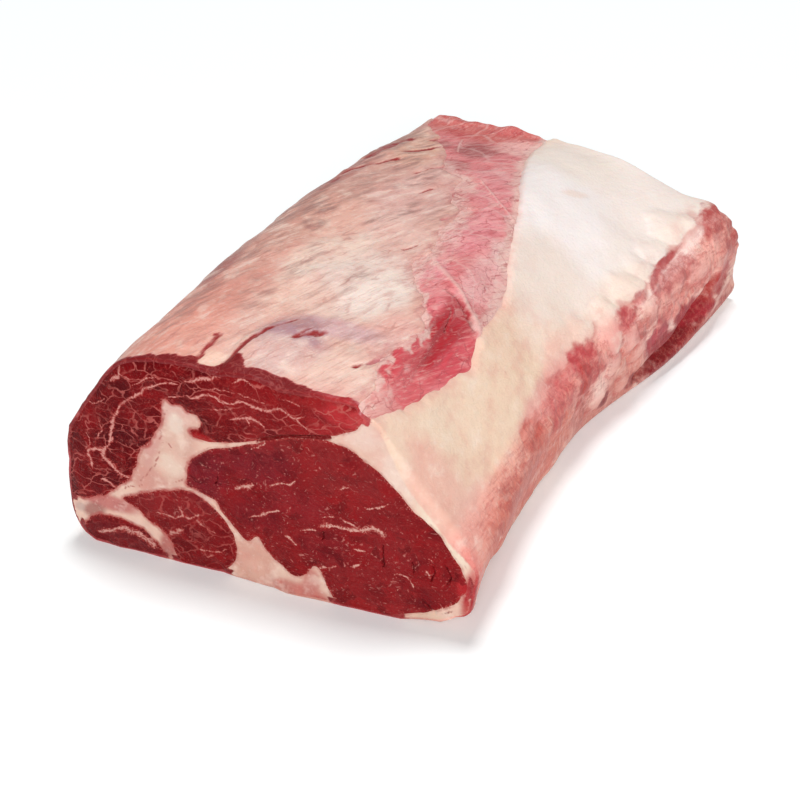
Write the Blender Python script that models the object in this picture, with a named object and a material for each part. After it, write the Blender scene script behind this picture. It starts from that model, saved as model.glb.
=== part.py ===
"""Raw boneless beef rib roast, about 36 cm long, cut across at both ends.

The roast lies on its flat rib side.  +Y runs along its length, away from the
thicker front end; +X is the side with the deep fat slope; +Z is up.  Four
muscles run right through one body of fat: the cap muscle, the eye, the inner
muscle and the small rib-side muscle.  The cap muscle lies bare in a shallow
strip that wanders along the top.  Lengths are in millimetres, objects in metres.
"""
import math

import bmesh
import bpy
import numpy as np
from mathutils import Matrix, Vector, noise

MM = 0.001

# ---- driving dimensions
LENGTH = 358.0            # between the middles of the two cut faces
FACE_SLANT = 0.05         # how much further back the front cut lies for each mm to the right
END_OVERSHOOT = 6.0       # how far the muscle guides run past the cut faces
GAP = 0.35                # clearance between a muscle and the fat round it
FILM = 2.6                # fat left over the cap muscle, and depth of the bare strip
BASE_FILM = 2.2           # fat left under the muscles
STRIP_OPENING = 5.0       # how far the strip cutter stands out of the fat
STRIP_STEP = 1.2          # width of the slope down into the strip on its left
STRIP_LEAN = 0.2          # how far the strip's right wall leans out, as a share of its height
UNEVENNESS = 1.3          # height of the soft lumps in every surface but the base
LUMP_SIZE = 46.0          # distance over which the lumps rise and fall
FIRM_HEIGHT = 16.0        # the lumps fade in from the base up to this height
LUMP_SEED = 1795406558    # picks one set of lumps, the same in every run

# Corners (x, z, rounding) of the whole section at 5 equal stations, front to back:
#   left foot        left wall         shoulder         crown            brow           right foot
SECTIONS = [
    [(-115, 0, 12), (-120, 64, 35), (-86, 119, 40), (42, 121, 8), (99, 40, 12), (94, 0, 30)],
    [(-114, 0, 12), (-121, 70, 32), (-86, 118, 40), (38, 119, 16), (91, 42, 14), (82, 0, 14)],
    [(-112, 0, 12), (-121, 72, 30), (-84, 112, 40), (24, 112, 28), (90, 48, 16), (82, 0, 10)],
    [(-108, 0, 12), (-118, 62, 30), (-84, 100, 34), (18, 100, 40), (103, 52, 20), (105, 0, 10)],
    [(-100, 0, 12), (-112, 46, 25), (-84, 81, 22), (20, 82, 60), (106, 55, 25), (117, 0, 10)],
]
# Left and right edges (x) of the bare strip at the same stations.
BARE_STRIP = [(34, 44), (31, 55), (4, 41), (-36, 12), (-80, -9)]

# Corners (x, z, rounding) of the muscles on the front cut face.
EYE = [
    (-53, 48, 6), (-51, 67, 10), (-14, 82, 30), (26, 95, 30), (79, 60, 45), (95, 26, 14),
    (84, 7, 8), (25, 2.2, 4), (21, 17, 5), (13, 17, 5), (4, 9, 6), (-15, 27, 5), (-22, 23, 5),
    (-36, 45, 6),
]
INNER_MUSCLE = [
    (-88, 30, 4), (-74, 40, 10), (-51, 45, 10), (-35, 37, 12), (-25, 16, 12), (-36, 2.2, 8),
    (-61, 2.2, 6), (-65, 14, 5), (-77, 21, 8),
]
RIB_SIDE_MUSCLE = [
    (-109, 13, 4), (-101, 18, 6), (-86, 17, 10), (-72, 11, 6), (-70, 2.2, 2), (-106, 2.2, 5),
]
# Inner border of the cap muscle, from its tip back down to the left wall.
CAP_INNER = [
    (12, 96, 30), (-30, 82, 12), (-46, 82, 4), (-50, 95, 4), (-61, 95, 5), (-68, 77, 12),
    (-83, 45, 20), (-98, 31, 10),
]
CAP_FOOT_HEIGHT = 26.0    # where the cap muscle ends low on the left wall
CAP_TIP_THICKNESS = 2.0   # of its blunt edge at the right of the bare strip
CAP_TIP_OVERHANG = 0.6    # how far that edge runs out under the fat
CAP_TIP_REACH = 14.0      # from the edge back to where its underside may turn

# ---- fineness of the meshes
ARC_POINTS = 5
EDGE_POINTS = 3
RINGS = 21
MUSCLE_ARC_POINTS = 3
MUSCLE_EDGE_POINTS = 1
MUSCLE_RINGS = 10
CAP_SIDE_POINTS = 11      # over the shoulder, up to the bare strip
CAP_STRIP_POINTS = 5      # across the bare strip


def along_stations(values, t):
    """Smooth value at t (0 front, 1 back) through equally spaced stations."""
    values = np.asarray(values, float)
    last = len(values) - 1
    place = min(max(t, 0.0), 1.0) * last
    i = min(int(place), last - 1)
    f = place - i
    before, here, there, after = (values[min(max(i + k, 0), last)] for k in (-1, 0, 1, 2))
    return 0.5 * (2 * here + (there - before) * f
                  + (2 * before - 5 * here + 4 * there - after) * f ** 2
                  + (3 * here - before - 3 * there + after) * f ** 3)


def rounded_outline(corners, arc_points, edge_points):
    """Closed outline with every corner rounded; always the same number of points."""
    corners = np.asarray(corners, float)
    arcs = []
    for k, (x, z, radius) in enumerate(corners):
        corner = np.array((x, z))
        to_before = corners[k - 1, :2] - corner
        to_next = corners[(k + 1) % len(corners), :2] - corner
        len_before, len_next = np.linalg.norm(to_before), np.linalg.norm(to_next)
        to_before /= len_before
        to_next /= len_next
        half = math.acos(np.clip(to_before @ to_next, -1, 1)) / 2
        reach = min(radius / math.tan(half), 0.49 * len_before, 0.49 * len_next)
        radius = reach * math.tan(half)
        middle = corner + (to_before + to_next) / (2 * math.cos(half)) * reach / math.cos(half)
        start = corner + to_before * reach - middle
        end = corner + to_next * reach - middle
        turn = math.atan2(start[0] * end[1] - start[1] * end[0], start @ end)
        arc = []
        for angle in np.linspace(0, turn, arc_points):
            c, s = math.cos(angle), math.sin(angle)
            arc.append(middle + (start[0] * c - start[1] * s, start[0] * s + start[1] * c))
        arcs.append(arc)
    outline = []
    for k, arc in enumerate(arcs):
        outline += arc
        goal = arcs[(k + 1) % len(arcs)][0]
        for j in range(1, edge_points + 1):
            outline.append(arc[-1] + (goal - arc[-1]) * j / (edge_points + 1))
    return np.array(outline)


def section(t, arc_points=ARC_POINTS, edge_points=EDGE_POINTS):
    """Outline of the whole roast at t, running from the left foot over the top."""
    return rounded_outline(along_stations(SECTIONS, t), arc_points, edge_points)


def outward(outline):
    """Unit normals of an outline that runs left, over the top and back along the base."""
    along = np.roll(outline, -1, axis=0) - np.roll(outline, 1, axis=0)
    along /= np.linalg.norm(along, axis=1, keepdims=True)
    return np.column_stack((-along[:, 1], along[:, 0]))


def follow(t, corners):
    """Carry corners of the front cut face back to t with the width and height there."""
    def size(at):
        s = along_stations(SECTIONS, at)
        return (s[0, 0] + s[1, 0]) / 2, (s[4, 0] + s[5, 0]) / 2, (s[2, 1] + s[3, 1]) / 2
    left0, right0, height0 = size(0)
    left, right, height = size(t)
    wide, high = (right - left) / (right0 - left0), height / height0
    x, z, radius = np.asarray(corners, float).T
    return np.column_stack((left + (x - left0) * wide, BASE_FILM + (z - BASE_FILM) * high,
                            radius * (wide + high) / 2))


def muscle(t, corners, grow):
    """Outline of a muscle at t, moved outwards by grow."""
    outline = rounded_outline(follow(t, corners), MUSCLE_ARC_POINTS, MUSCLE_EDGE_POINTS)
    return outline + outward(outline) * grow


def stretch(points, start, end, count, margin=0.0):
    """Evenly spaced points on a line, from a margin past one of its points to another."""
    run = np.concatenate(([0], np.cumsum(np.linalg.norm(np.diff(points, axis=0), axis=1))))
    places = np.linspace(run[start] + margin, run[end], count)
    return np.column_stack([np.interp(places, run, points[:, k]) for k in (0, 1)])


def cap_muscle(t, grow, strip_lift):
    """Outline of the cap muscle at t: up the left wall, over the top and back below.

    grow moves it outwards; strip_lift moves its top out of the fat along the bare strip.
    """
    whole = section(t, 16, 30)
    inset = whole - outward(whole) * FILM
    foot = follow(t, [(0, CAP_FOOT_HEIGHT, 0)])[0, 1]
    strip_left, strip_right = along_stations(BARE_STRIP, t)
    first = int(np.argmax(inset[:, 1] > foot))
    upper = inset[:, 1] > 40
    strip_start = int(np.argmax(upper & (inset[:, 0] > strip_left)))
    strip_end = int(np.argmax(upper & (inset[:, 0] > strip_right)))
    side = stretch(inset, first, strip_start, CAP_SIDE_POINTS)
    bare = stretch(inset, strip_start, strip_end, CAP_STRIP_POINTS, STRIP_STEP)
    out_of_fat = outward(inset)[strip_end]
    onward = np.array((out_of_fat[1], -out_of_fat[0]))
    tip = bare[-1] + onward * CAP_TIP_OVERHANG - out_of_fat * CAP_TIP_THICKNESS
    inner = follow(t, CAP_INNER)
    inner[0, 0] = min(inner[0, 0], tip[0] - CAP_TIP_REACH)
    below = rounded_outline(np.vstack(([(*tip, 0)], inner, [(*side[0], 0)])),
                            MUSCLE_ARC_POINTS, MUSCLE_EDGE_POINTS)
    below = below[MUSCLE_ARC_POINTS:-(MUSCLE_ARC_POINTS + MUSCLE_EDGE_POINTS)]
    outline = np.vstack((side, bare, [tip], below))
    outline = outline + outward(outline) * grow
    strip_up = outward(inset)[(strip_start + strip_end) // 2] + onward * STRIP_LEAN
    outline[CAP_SIDE_POINTS:CAP_SIDE_POINTS + CAP_STRIP_POINTS] += strip_up * strip_lift
    return outline


def length_at(t, x):
    """Distance along the roast at t; the front cut is slanted, the back one square."""
    return (t - 0.5) * LENGTH + FACE_SLANT * x * (1 - min(max(t, 0.0), 1.0))


# ---- building

def uneven(point):
    """Shift a point sideways and up or down with the soft lumps of the meat."""
    x, y, z = point
    fade = min(max(z / FIRM_HEIGHT, 0.0), 1.0)
    lump = noise.noise_vector(Vector((x, y, z)) / LUMP_SIZE) * UNEVENNESS * fade ** 2
    return Vector((x + lump.x, y, z + lump.z))


def loft(name, outline_at, stations):
    """Closed solid through the outlines at the given stations.

    Every face between two outlines is split the same way, so that a muscle and the
    channel round it keep their clearance where they twist.
    """
    bm = bmesh.new()
    rings = []
    for t in stations:
        ring = []
        for x, z in outline_at(t):
            ring.append(bm.verts.new(uneven((x, length_at(t, x), z)) * MM))
        rings.append(ring)
    count = len(rings[0])
    for ring, following in zip(rings, rings[1:]):
        for k in range(count):
            j = (k + 1) % count
            bm.faces.new((ring[k], ring[j], following[j]))
            bm.faces.new((ring[k], following[j], following[k]))
    bm.faces.new(reversed(rings[0]))
    bm.faces.new(rings[-1])
    bmesh.ops.recalc_face_normals(bm, faces=bm.faces)
    mesh = bpy.data.meshes.new(name)
    bm.to_mesh(mesh)
    bm.free()
    return bpy.data.objects.new(name, mesh)


def combine(target, tool, operation):
    """Add an exact Boolean of target with a guide."""
    step = target.modifiers.new(operation.lower() + "_" + tool.name, "BOOLEAN")
    step.operation = operation
    step.solver = "EXACT"
    step.object = tool


def material(name, colour, roughness):
    """Plain material in one colour."""
    made = bpy.data.materials.new(name)
    made.use_nodes = True
    shader = made.node_tree.nodes["Principled BSDF"]
    shader.inputs["Base Color"].default_value = (*colour, 1.0)
    shader.inputs["Roughness"].default_value = roughness
    shader.inputs["Metallic"].default_value = 0.0
    return made


def stand_on_origin(pieces, body):
    """Move every mesh so that the middle of the body's base lies on the origin."""
    corners = np.array([v.co[:] for v in body.data.vertices])
    low, high = corners.min(axis=0), corners.max(axis=0)
    middle = (low + high) / 2
    shift = Matrix.Translation((-middle[0], -middle[1], -low[2]))
    for piece in pieces:
        piece.data.transform(shift)


def main():
    for old in list(bpy.data.objects):
        bpy.data.objects.remove(old, do_unlink=True)
    noise.seed_set(LUMP_SEED)
    roast = bpy.data.collections.new("rib_roast")
    guides = bpy.data.collections.new("guides")
    bpy.context.scene.collection.children.link(roast)
    bpy.context.scene.collection.children.link(guides)

    body_stations = np.linspace(0, 1, RINGS)
    overshoot = END_OVERSHOOT / LENGTH
    muscle_stations = np.linspace(-overshoot, 1 + overshoot, MUSCLE_RINGS)

    white_fat = material("white_fat", (0.86, 0.70, 0.58), 0.45)
    fat = loft("fat", section, body_stations)
    fat.data.materials.append(white_fat)
    roast.objects.link(fat)
    whole = loft("whole_roast", section, body_stations)
    guides.objects.link(whole)

    outlines = {
        "cap_muscle": lambda t, grow: cap_muscle(t, grow, (STRIP_OPENING if grow else 0)),
        "eye_muscle": lambda t, grow: muscle(t, EYE, grow),
        "inner_muscle": lambda t, grow: muscle(t, INNER_MUSCLE, grow),
        "rib_side_muscle": lambda t, grow: muscle(t, RIB_SIDE_MUSCLE, grow),
    }
    colours = {
        "cap_muscle": (0.24, 0.016, 0.018),
        "eye_muscle": (0.33, 0.035, 0.030),
        "inner_muscle": (0.27, 0.025, 0.022),
        "rib_side_muscle": (0.25, 0.028, 0.028),
    }
    for name, outline in outlines.items():
        piece = loft(name, lambda t, made=outline: made(t, 0.0), muscle_stations)
        piece.data.materials.append(material("lean_" + name, colours[name], 0.5))
        roast.objects.link(piece)
        combine(piece, whole, "INTERSECT")
        channel = loft(name + "_channel", lambda t, made=outline: made(t, GAP), muscle_stations)
        guides.objects.link(channel)
        combine(fat, channel, "DIFFERENCE")

    stand_on_origin([*roast.objects, *guides.objects], whole)
    for guide in guides.objects:
        guide.hide_render = True
        guide.display_type = "WIRE"


main()
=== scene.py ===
"""Raw boneless beef rib roast: skin of fat and silverskin, four lean muscles, bare strip.

Shapes are worked out in millimetres in the roast's own frame: x across, y along the
length away from the thick front end, z up from the flat base.  They are moved onto the
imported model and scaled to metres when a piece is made.
"""
import math
from types import SimpleNamespace

import bpy
import numpy as np
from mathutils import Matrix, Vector, noise
from mathutils.geometry import delaunay_2d_cdt


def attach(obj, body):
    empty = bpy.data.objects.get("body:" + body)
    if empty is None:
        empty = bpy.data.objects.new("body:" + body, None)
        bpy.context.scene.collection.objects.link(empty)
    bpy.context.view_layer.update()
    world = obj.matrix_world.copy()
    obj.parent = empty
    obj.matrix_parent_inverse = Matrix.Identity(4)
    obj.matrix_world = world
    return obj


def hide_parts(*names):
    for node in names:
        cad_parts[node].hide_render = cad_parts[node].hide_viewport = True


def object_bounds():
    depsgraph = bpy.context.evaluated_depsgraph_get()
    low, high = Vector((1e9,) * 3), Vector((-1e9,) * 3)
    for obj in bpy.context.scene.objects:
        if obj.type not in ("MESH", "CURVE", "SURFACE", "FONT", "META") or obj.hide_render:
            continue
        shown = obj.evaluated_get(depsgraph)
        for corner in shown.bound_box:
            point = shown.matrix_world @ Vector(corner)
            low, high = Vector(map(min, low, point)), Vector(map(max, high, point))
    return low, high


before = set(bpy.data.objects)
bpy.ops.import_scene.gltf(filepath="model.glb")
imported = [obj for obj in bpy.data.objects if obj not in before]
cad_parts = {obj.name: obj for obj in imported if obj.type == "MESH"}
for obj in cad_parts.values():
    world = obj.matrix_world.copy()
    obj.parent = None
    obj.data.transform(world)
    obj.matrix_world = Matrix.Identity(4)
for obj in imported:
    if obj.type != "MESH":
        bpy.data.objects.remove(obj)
cad_low, cad_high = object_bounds()

MM = 0.001

# ---- the roast's body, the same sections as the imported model
LENGTH = 358.0
FACE_SLANT = 0.05
UNEVENNESS = 1.3
LUMP_SIZE = 46.0
FIRM_HEIGHT = 16.0
LUMP_SEED = 1795406558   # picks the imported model's own lumps
# Corners (x, z, rounding) at 5 equal stations, front to back:
#   left foot        left wall         shoulder         crown            brow           right foot
SECTIONS = [
    [(-115, 0, 12), (-120, 64, 35), (-86, 119, 40), (42, 121, 8), (99, 40, 12), (94, 0, 30)],
    [(-114, 0, 12), (-121, 70, 32), (-86, 118, 40), (38, 119, 16), (91, 42, 14), (82, 0, 14)],
    [(-112, 0, 12), (-121, 72, 30), (-84, 112, 40), (24, 112, 28), (90, 48, 16), (82, 0, 10)],
    [(-108, 0, 12), (-118, 62, 30), (-84, 100, 34), (18, 100, 40), (103, 52, 20), (105, 0, 10)],
    [(-100, 0, 12), (-112, 46, 25), (-84, 81, 22), (20, 82, 60), (106, 55, 25), (117, 0, 10)],
]

# ---- fineness
SKIN_STEP = 1.45          # along the roast
WRAP_COUNTS = (14, 36, 222, 14)   # points on the base's left, left wall, top to right foot, base
SHOULDER = sum(WRAP_COUNTS[:2])     # number of a ring's point on the left shoulder
RIGHT_FOOT = sum(WRAP_COUNTS[:3])   # and on the right foot
RIM_DEPTHS = [0, 0.15, 0.5, 1.1, 2.0, 3.2, 4.6]   # rings near a cut end
RIM_REACH = 9.0           # how far the cut faces' unevenness goes on into the skin
LEAN_ROUNDING = 1.0       # of the cut edges
FAT_ROUNDING = 5.0
CORNER_POINTS = 14        # on each rounded corner of a section
SHARPEST = 52             # degrees up to which an edge is shaded as rounded
BORDER_STEP = 1.2         # between points on a muscle's border
LEAN_STEP = 0.6           # and inside its front cut face
FAT_STEP = 1.0
BACK_STEP = 2.0
BASE_FILM = 2.2           # of fat under the muscles
HIDDEN_DEPTHS = [0, 3, 14, LENGTH / 2, LENGTH - 14, LENGTH - 3, LENGTH]
HIDDEN_SLIMNESS = [0, 0.1, 1, 1, 1, 0.1, 0]       # muscles get slimmer where they are hidden
CHANNEL_INSET = 5.0       # of the fat's channels there, and of the muscles in them
MUSCLE_INSET = 6.0
BACK_WIDTH = 0.965        # the muscles keep clear of the back face's edges
BACK_RISE = 0.5
STRIP_ROWS = 300
STRIP_COLUMNS = 90
STRIP_END = 0.4           # between the strip's ends and the cut faces
STRIP_THICKNESS = 3.0
STRIP_LAP = 4.0           # how far the bare lean runs on under the fat
STRIP_SINK = 1.5          # how much deeper it lies there
SLOPE_RISE = 100.0        # rise at which the fat slope turns into the top
TOP_RISE = 120.0          # rise beyond which everything is top or left wall
BROW_HEIGHT = 60.0

# ---- muscles on the front cut face (x, z), smooth curves through these points
EYE_EDGE = [
    (-52, 50), (-52, 58), (-48, 67), (-43, 72), (-36, 76), (-27, 79), (-19, 83), (-13, 85),
    (-5, 89), (6, 93), (14, 95), (23, 96), (32, 95), (42, 90), (51, 84), (59, 76), (67, 67),
    (76, 60), (84, 50), (90, 41), (93, 33), (92, 26), (87, 18.5), (79, 12.5), (70, 8.5),
    (60, 4), (50, 1.6), (38, 1.6), (28, 2), (24, 6), (20, 13), (17, 19), (14, 19), (10, 13), (4, 11),
    (-3, 15), (-10, 21), (-15, 29), (-20, 25), (-24, 27), (-29, 33), (-34, 39), (-37, 45),
    (-44, 47),
]
INNER_EDGE = [
    (-88, 31), (-81, 36), (-72, 41), (-62, 45), (-53, 46), (-44, 44), (-37, 39), (-31, 32),
    (-28, 24), (-27, 16), (-30, 8), (-36, 2.4), (-48, 1.6), (-58, 1.6), (-61, 6), (-63, 14),
    (-68, 18), (-77, 25),
]
RIB_SIDE_EDGE = [
    (-111.5, 9), (-108, 16), (-101, 19), (-93, 19), (-86, 18), (-77, 15), (-71, 10), (-69, 3),
    (-79, 1.7), (-92, 1.7), (-104, 2.2), (-109, 4),
]
# Inner border of the cap muscle, from under its tip round the fat kernel to the left wall.
CAP_INNER_EDGE = [
    (38, 107), (32, 103), (22, 98), (10, 94.5), (-1, 91.5), (-12, 87), (-26, 82), (-38, 79.5),
    (-46, 79.5), (-48, 83), (-43, 87), (-44, 93), (-49, 93), (-52, 96), (-57, 96), (-61, 98),
    (-63, 91), (-65, 82), (-70, 75), (-72, 68), (-77, 65), (-80, 54), (-84, 46), (-92, 37),
    (-100, 30), (-111, 26),
]
CAP_TIP = 42.0
CAP_FOOT = 26.0
CAP_SKIN = 1.9            # between the cap muscle's face and the roast's side
CAP_BEND = -65.0          # left of this its inner border keeps its shape up to the back face
CAP_SWELL = 0.9           # how far its cut face stands out

# ---- the bare strip along the top: (y, x) of its ragged borders, front to back
STRIP_LEFT = [
    (-190, 38), (-172, 40), (-160, 42), (-148, 35), (-132, 33), (-115, 36), (-100, 38),
    (-92, 33), (-80, 29), (-70, 22), (-60, 14), (-48, 7), (-38, 5), (-28, 10), (-16, 6),
    (0, 2), (14, 3), (28, 1), (36, -8), (48, -14), (62, -16), (74, -19), (79, -31), (90, -36),
    (104, -41), (120, -50), (138, -60), (152, -70), (164, -80), (190, -86),
]
STRIP_RIGHT = [
    (-190, 45), (-178, 46), (-165, 48), (-155, 50), (-140, 52), (-125, 53), (-108, 54),
    (-96, 55), (-84, 56), (-74, 53), (-60, 50), (-45, 49), (-25, 47), (-8, 43), (8, 37),
    (22, 33), (40, 27), (55, 23), (70, 17), (85, 10), (100, 5), (116, 0), (130, -4),
    (150, -8), (168, -9), (190, -8),
]


# ---- numbers

def along_stations(values, t):
    """Smooth value at t (0 front, 1 back) through equally spaced stations."""
    values = np.asarray(values, float)
    last = len(values) - 1
    place = min(max(t, 0.0), 1.0) * last
    i = min(int(place), last - 1)
    f = place - i
    before, here, there, after = (values[min(max(i + k, 0), last)] for k in (-1, 0, 1, 2))
    return 0.5 * (2 * here + (there - before) * f
                  + (2 * before - 5 * here + 4 * there - after) * f ** 2
                  + (3 * here - before - 3 * there + after) * f ** 3)


def smooth(low, high, value):
    """0 below low, 1 above high, and an even S between."""
    f = np.clip((value - low) / (high - low), 0, 1)
    return f * f * (3 - 2 * f)


def mix(a, b, f):
    return a + (b - a) * f


def even(points, count, closed=False):
    """Evenly spaced points on a line."""
    points = np.asarray(points, float)
    if closed:
        points = np.vstack((points, points[:1]))
    run = np.concatenate(([0], np.cumsum(np.linalg.norm(np.diff(points, axis=0), axis=1))))
    places = np.linspace(0, run[-1], count, endpoint=not closed)
    return np.column_stack([np.interp(places, run, points[:, k]) for k in range(points.shape[1])])


def curve(points, closed=False, fine=8):
    """Smooth line through the points."""
    p = np.asarray(points, float)
    p = np.vstack((p[-1:], p, p[:2])) if closed else np.vstack((p[:1], p, p[-1:]))
    a, b, c, d = p[:-3, None], p[1:-2, None], p[2:-1, None], p[3:, None]
    f = (np.arange(fine) / fine)[None, :, None]
    line = 0.5 * (2 * b + (c - a) * f + (2 * a - 5 * b + 4 * c - d) * f ** 2
                  + (3 * b - a - 3 * c + d) * f ** 3)
    line = line.reshape(-1, p.shape[1])
    return line if closed else np.vstack((line, p[-2:-1]))


def hashed(cell, seed):
    """A steady value from 0 to 1 for each whole-number cell."""
    h = cell[..., 0] * 374761393 + cell[..., 1] * 668265263 + cell[..., 2] * 974711317
    h = (h + seed * 362437 + 1013904223) & 0xFFFFFFFF
    h = ((h ^ (h >> 13)) * 1274126177) & 0xFFFFFFFF
    h = ((h ^ (h >> 16)) * 668265263) & 0xFFFFFFFF
    return ((h ^ (h >> 15)) & 0xFFFF) / 65535.0


def soft_noise(points, size, seed=0, octaves=1):
    """Smooth noise from -1 to 1 with lumps of about the given size in mm."""
    total, weights_sum, weight = 0.0, 0.0, 1.0
    for octave in range(octaves):
        q = points / size * 2 ** octave + seed * 7.31
        cell = np.floor(q).astype(np.int64)
        f = q - cell
        f = f ** 3 * (f * (6 * f - 15) + 10)
        value = 0.0
        for corner in np.ndindex(2, 2, 2):
            corner = np.array(corner)
            nearness = np.prod(np.where(corner, f, 1 - f), axis=-1)
            value = value + nearness * hashed(cell + corner, seed + octave * 17)
        total = total + (2 * value - 1) * weight
        weights_sum += weight
        weight *= 0.5
    return total / weights_sum


def cells(points, size, seed=0):
    """Distances to the nearest and second nearest of scattered centres, in cell sizes."""
    q = points / size
    base = np.floor(q).astype(np.int64)
    first = np.full(q.shape[:-1], 9.0)
    second = first.copy()
    for offset in np.ndindex(3, 3, 3):
        cell = base + np.array(offset) - 1
        centre = cell + np.stack([hashed(cell, seed + k) for k in (1, 2, 3)], axis=-1)
        d = np.linalg.norm(q - centre, axis=-1)
        second = np.minimum(second, np.maximum(first, d))
        first = np.minimum(first, d)
    return first, second


def reach(points, line, closed=False):
    """Distance of each 2-D point from a line."""
    line = np.asarray(line, float)
    if closed:
        line = np.vstack((line, line[:1]))
    best = np.full(len(points), 1e9)
    for a, b in zip(line[:-1], line[1:]):
        along = b - a
        f = np.clip(((points - a) @ along) / max(along @ along, 1e-9), 0, 1)
        best = np.minimum(best, ((points - a - f[:, None] * along) ** 2).sum(axis=1))
    return np.sqrt(best)


def inside(points, outline):
    """Which 2-D points lie inside a closed outline."""
    within = np.zeros(len(points), bool)
    x, z = points.T
    for (x0, z0), (x1, z1) in zip(outline, np.roll(outline, -1, axis=0)):
        if z0 != z1:
            crosses = (z0 > z) != (z1 > z)
            within ^= crosses & (x < (x1 - x0) * (z - z0) / (z1 - z0) + x0)
    return within


# ---- the body's plain surface

def section(t):
    """Rounded section at t as one line from the middle of the base round to it again.

    Also gives the places on it of the middles of the left foot, shoulder and right foot.
    """
    corners = along_stations(SECTIONS, t)
    line = []
    for k, (x, z, radius) in enumerate(corners):
        corner = np.array((x, z))
        to_before = corners[k - 1, :2] - corner
        to_next = corners[(k + 1) % len(corners), :2] - corner
        len_before, len_next = np.linalg.norm(to_before), np.linalg.norm(to_next)
        to_before /= len_before
        to_next /= len_next
        half = math.acos(np.clip(to_before @ to_next, -1, 1)) / 2
        back = min(radius / math.tan(half), 0.49 * len_before, 0.49 * len_next)
        middle = corner + (to_before + to_next) / (2 * math.cos(half)) * back / math.cos(half)
        start = corner + to_before * back - middle
        end = corner + to_next * back - middle
        turn = math.atan2(start[0] * end[1] - start[1] * end[0], start @ end)
        angle = np.linspace(0, turn, CORNER_POINTS)[:, None]
        spin = np.array((-start[1], start[0]))
        line.append(middle + start * np.cos(angle) + spin * np.sin(angle))
    line = np.vstack(line)
    base = (line[:1] + line[-1:]) / 2
    marks = [1 + k * CORNER_POINTS + CORNER_POINTS // 2 for k in (0, 2, 5)]
    return np.vstack((base, line, base)), marks


def ring_at(t):
    """Points round the section at t, closer together where the roast is seen."""
    line, marks = section(t)
    marks = [0, *marks, len(line) - 1]
    spans = [even(line[a:b + 1], n + 1)[:-1] for a, b, n in zip(marks, marks[1:], WRAP_COUNTS)]
    return np.vstack(spans)


def rise_along(ring):
    """Height of a ring's points above the right foot, measured over the surface."""
    sides = np.linalg.norm(np.roll(ring, -1, axis=0) - ring, axis=1)
    onward = np.concatenate(([0], np.cumsum(sides[:-1])))
    return onward[RIGHT_FOOT] - onward


def in_space(flat):
    """Section points (x, z) as points of the plane y = 0."""
    return np.column_stack((flat[:, 0], flat[:, 0] * 0, flat[:, 1]))


def inset(outline, amount):
    """Closed outline (clockwise seen from the front) moved inwards."""
    along = np.roll(outline, -1, axis=0) - np.roll(outline, 1, axis=0)
    along /= np.linalg.norm(along, axis=1, keepdims=True)
    return outline + np.column_stack((along[:, 1], -along[:, 0])) * amount


def uneven(points):
    """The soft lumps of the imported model."""
    fade = np.clip(points[:, 2] / FIRM_HEIGHT, 0, 1) ** 2
    noise.seed_set(LUMP_SEED)
    lumps = np.array([noise.noise_vector(Vector(p) / LUMP_SIZE)[:] for p in points])
    lumps[:, 1] = 0
    return points + lumps * (UNEVENNESS * fade)[:, None]


def front_y(x):
    return -LENGTH / 2 + FACE_SLANT * x


def placed(outline, y_from_front):
    """Section points at a distance behind the front cut, which is slanted."""
    t = y_from_front / LENGTH
    y = front_y(outline[:, 0]) * (1 - t) + LENGTH / 2 * t
    return np.column_stack((outline[:, 0], y, outline[:, 1]))


def wrap():
    """The plain skin: rings of points with their directions out of the roast.

    Rings run from the front cut face to the back one, with rounded rims.  The rise of each
    point is below 0 on the base's right half and counts on over the top and down the left
    wall.
    """
    ends = np.array(RIM_DEPTHS)
    count = int((LENGTH - 2 * ends[-1]) / SKIN_STEP)
    middle = np.linspace(ends[-1], LENGTH - ends[-1], count)[1:-1]
    depths = np.concatenate((ends, middle, LENGTH - ends[::-1]))
    rings, rises, outs = [], [], []
    for depth in depths:
        plain = ring_at(depth / LENGTH)
        rise = rise_along(plain)
        soft = smooth(38, 60, rise) * (1 - smooth(84, 132, rise))   # on the fat slope
        rounding = mix(LEAN_ROUNDING, FAT_ROUNDING, soft)
        short = np.clip(1 - min(depth, LENGTH - depth) / rounding, 0, 1)
        amount = rounding * (1 - np.sqrt(1 - short ** 2))
        rises.append(rise)
        outs.append(plain - inset(plain, 1.0))
        rings.append(uneven(placed(inset(plain, amount[:, None]), depth)))
    outs = np.array([in_space(out) for out in outs])
    return np.array(rings), outs, np.array(rises), depths


# ---- colours

def linear(code):
    """A colour written as six hex digits, in linear light."""
    parts = np.array([int(code[k:k + 2], 16) for k in (0, 2, 4)]) / 255
    return np.where(parts <= 0.04045, parts / 12.92, ((parts + 0.055) / 1.055) ** 2.4)


BRIGHTEST = 0.95                      # no colour gets lighter than this
FILM_GLOW = (1.12, 1.06, 1.06)        # light that silverskin gives back, over its plain colour
SIDE_GLOW = np.array((1.10, 0.90, 0.92))
STRIP_GLOW = 1.33

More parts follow.
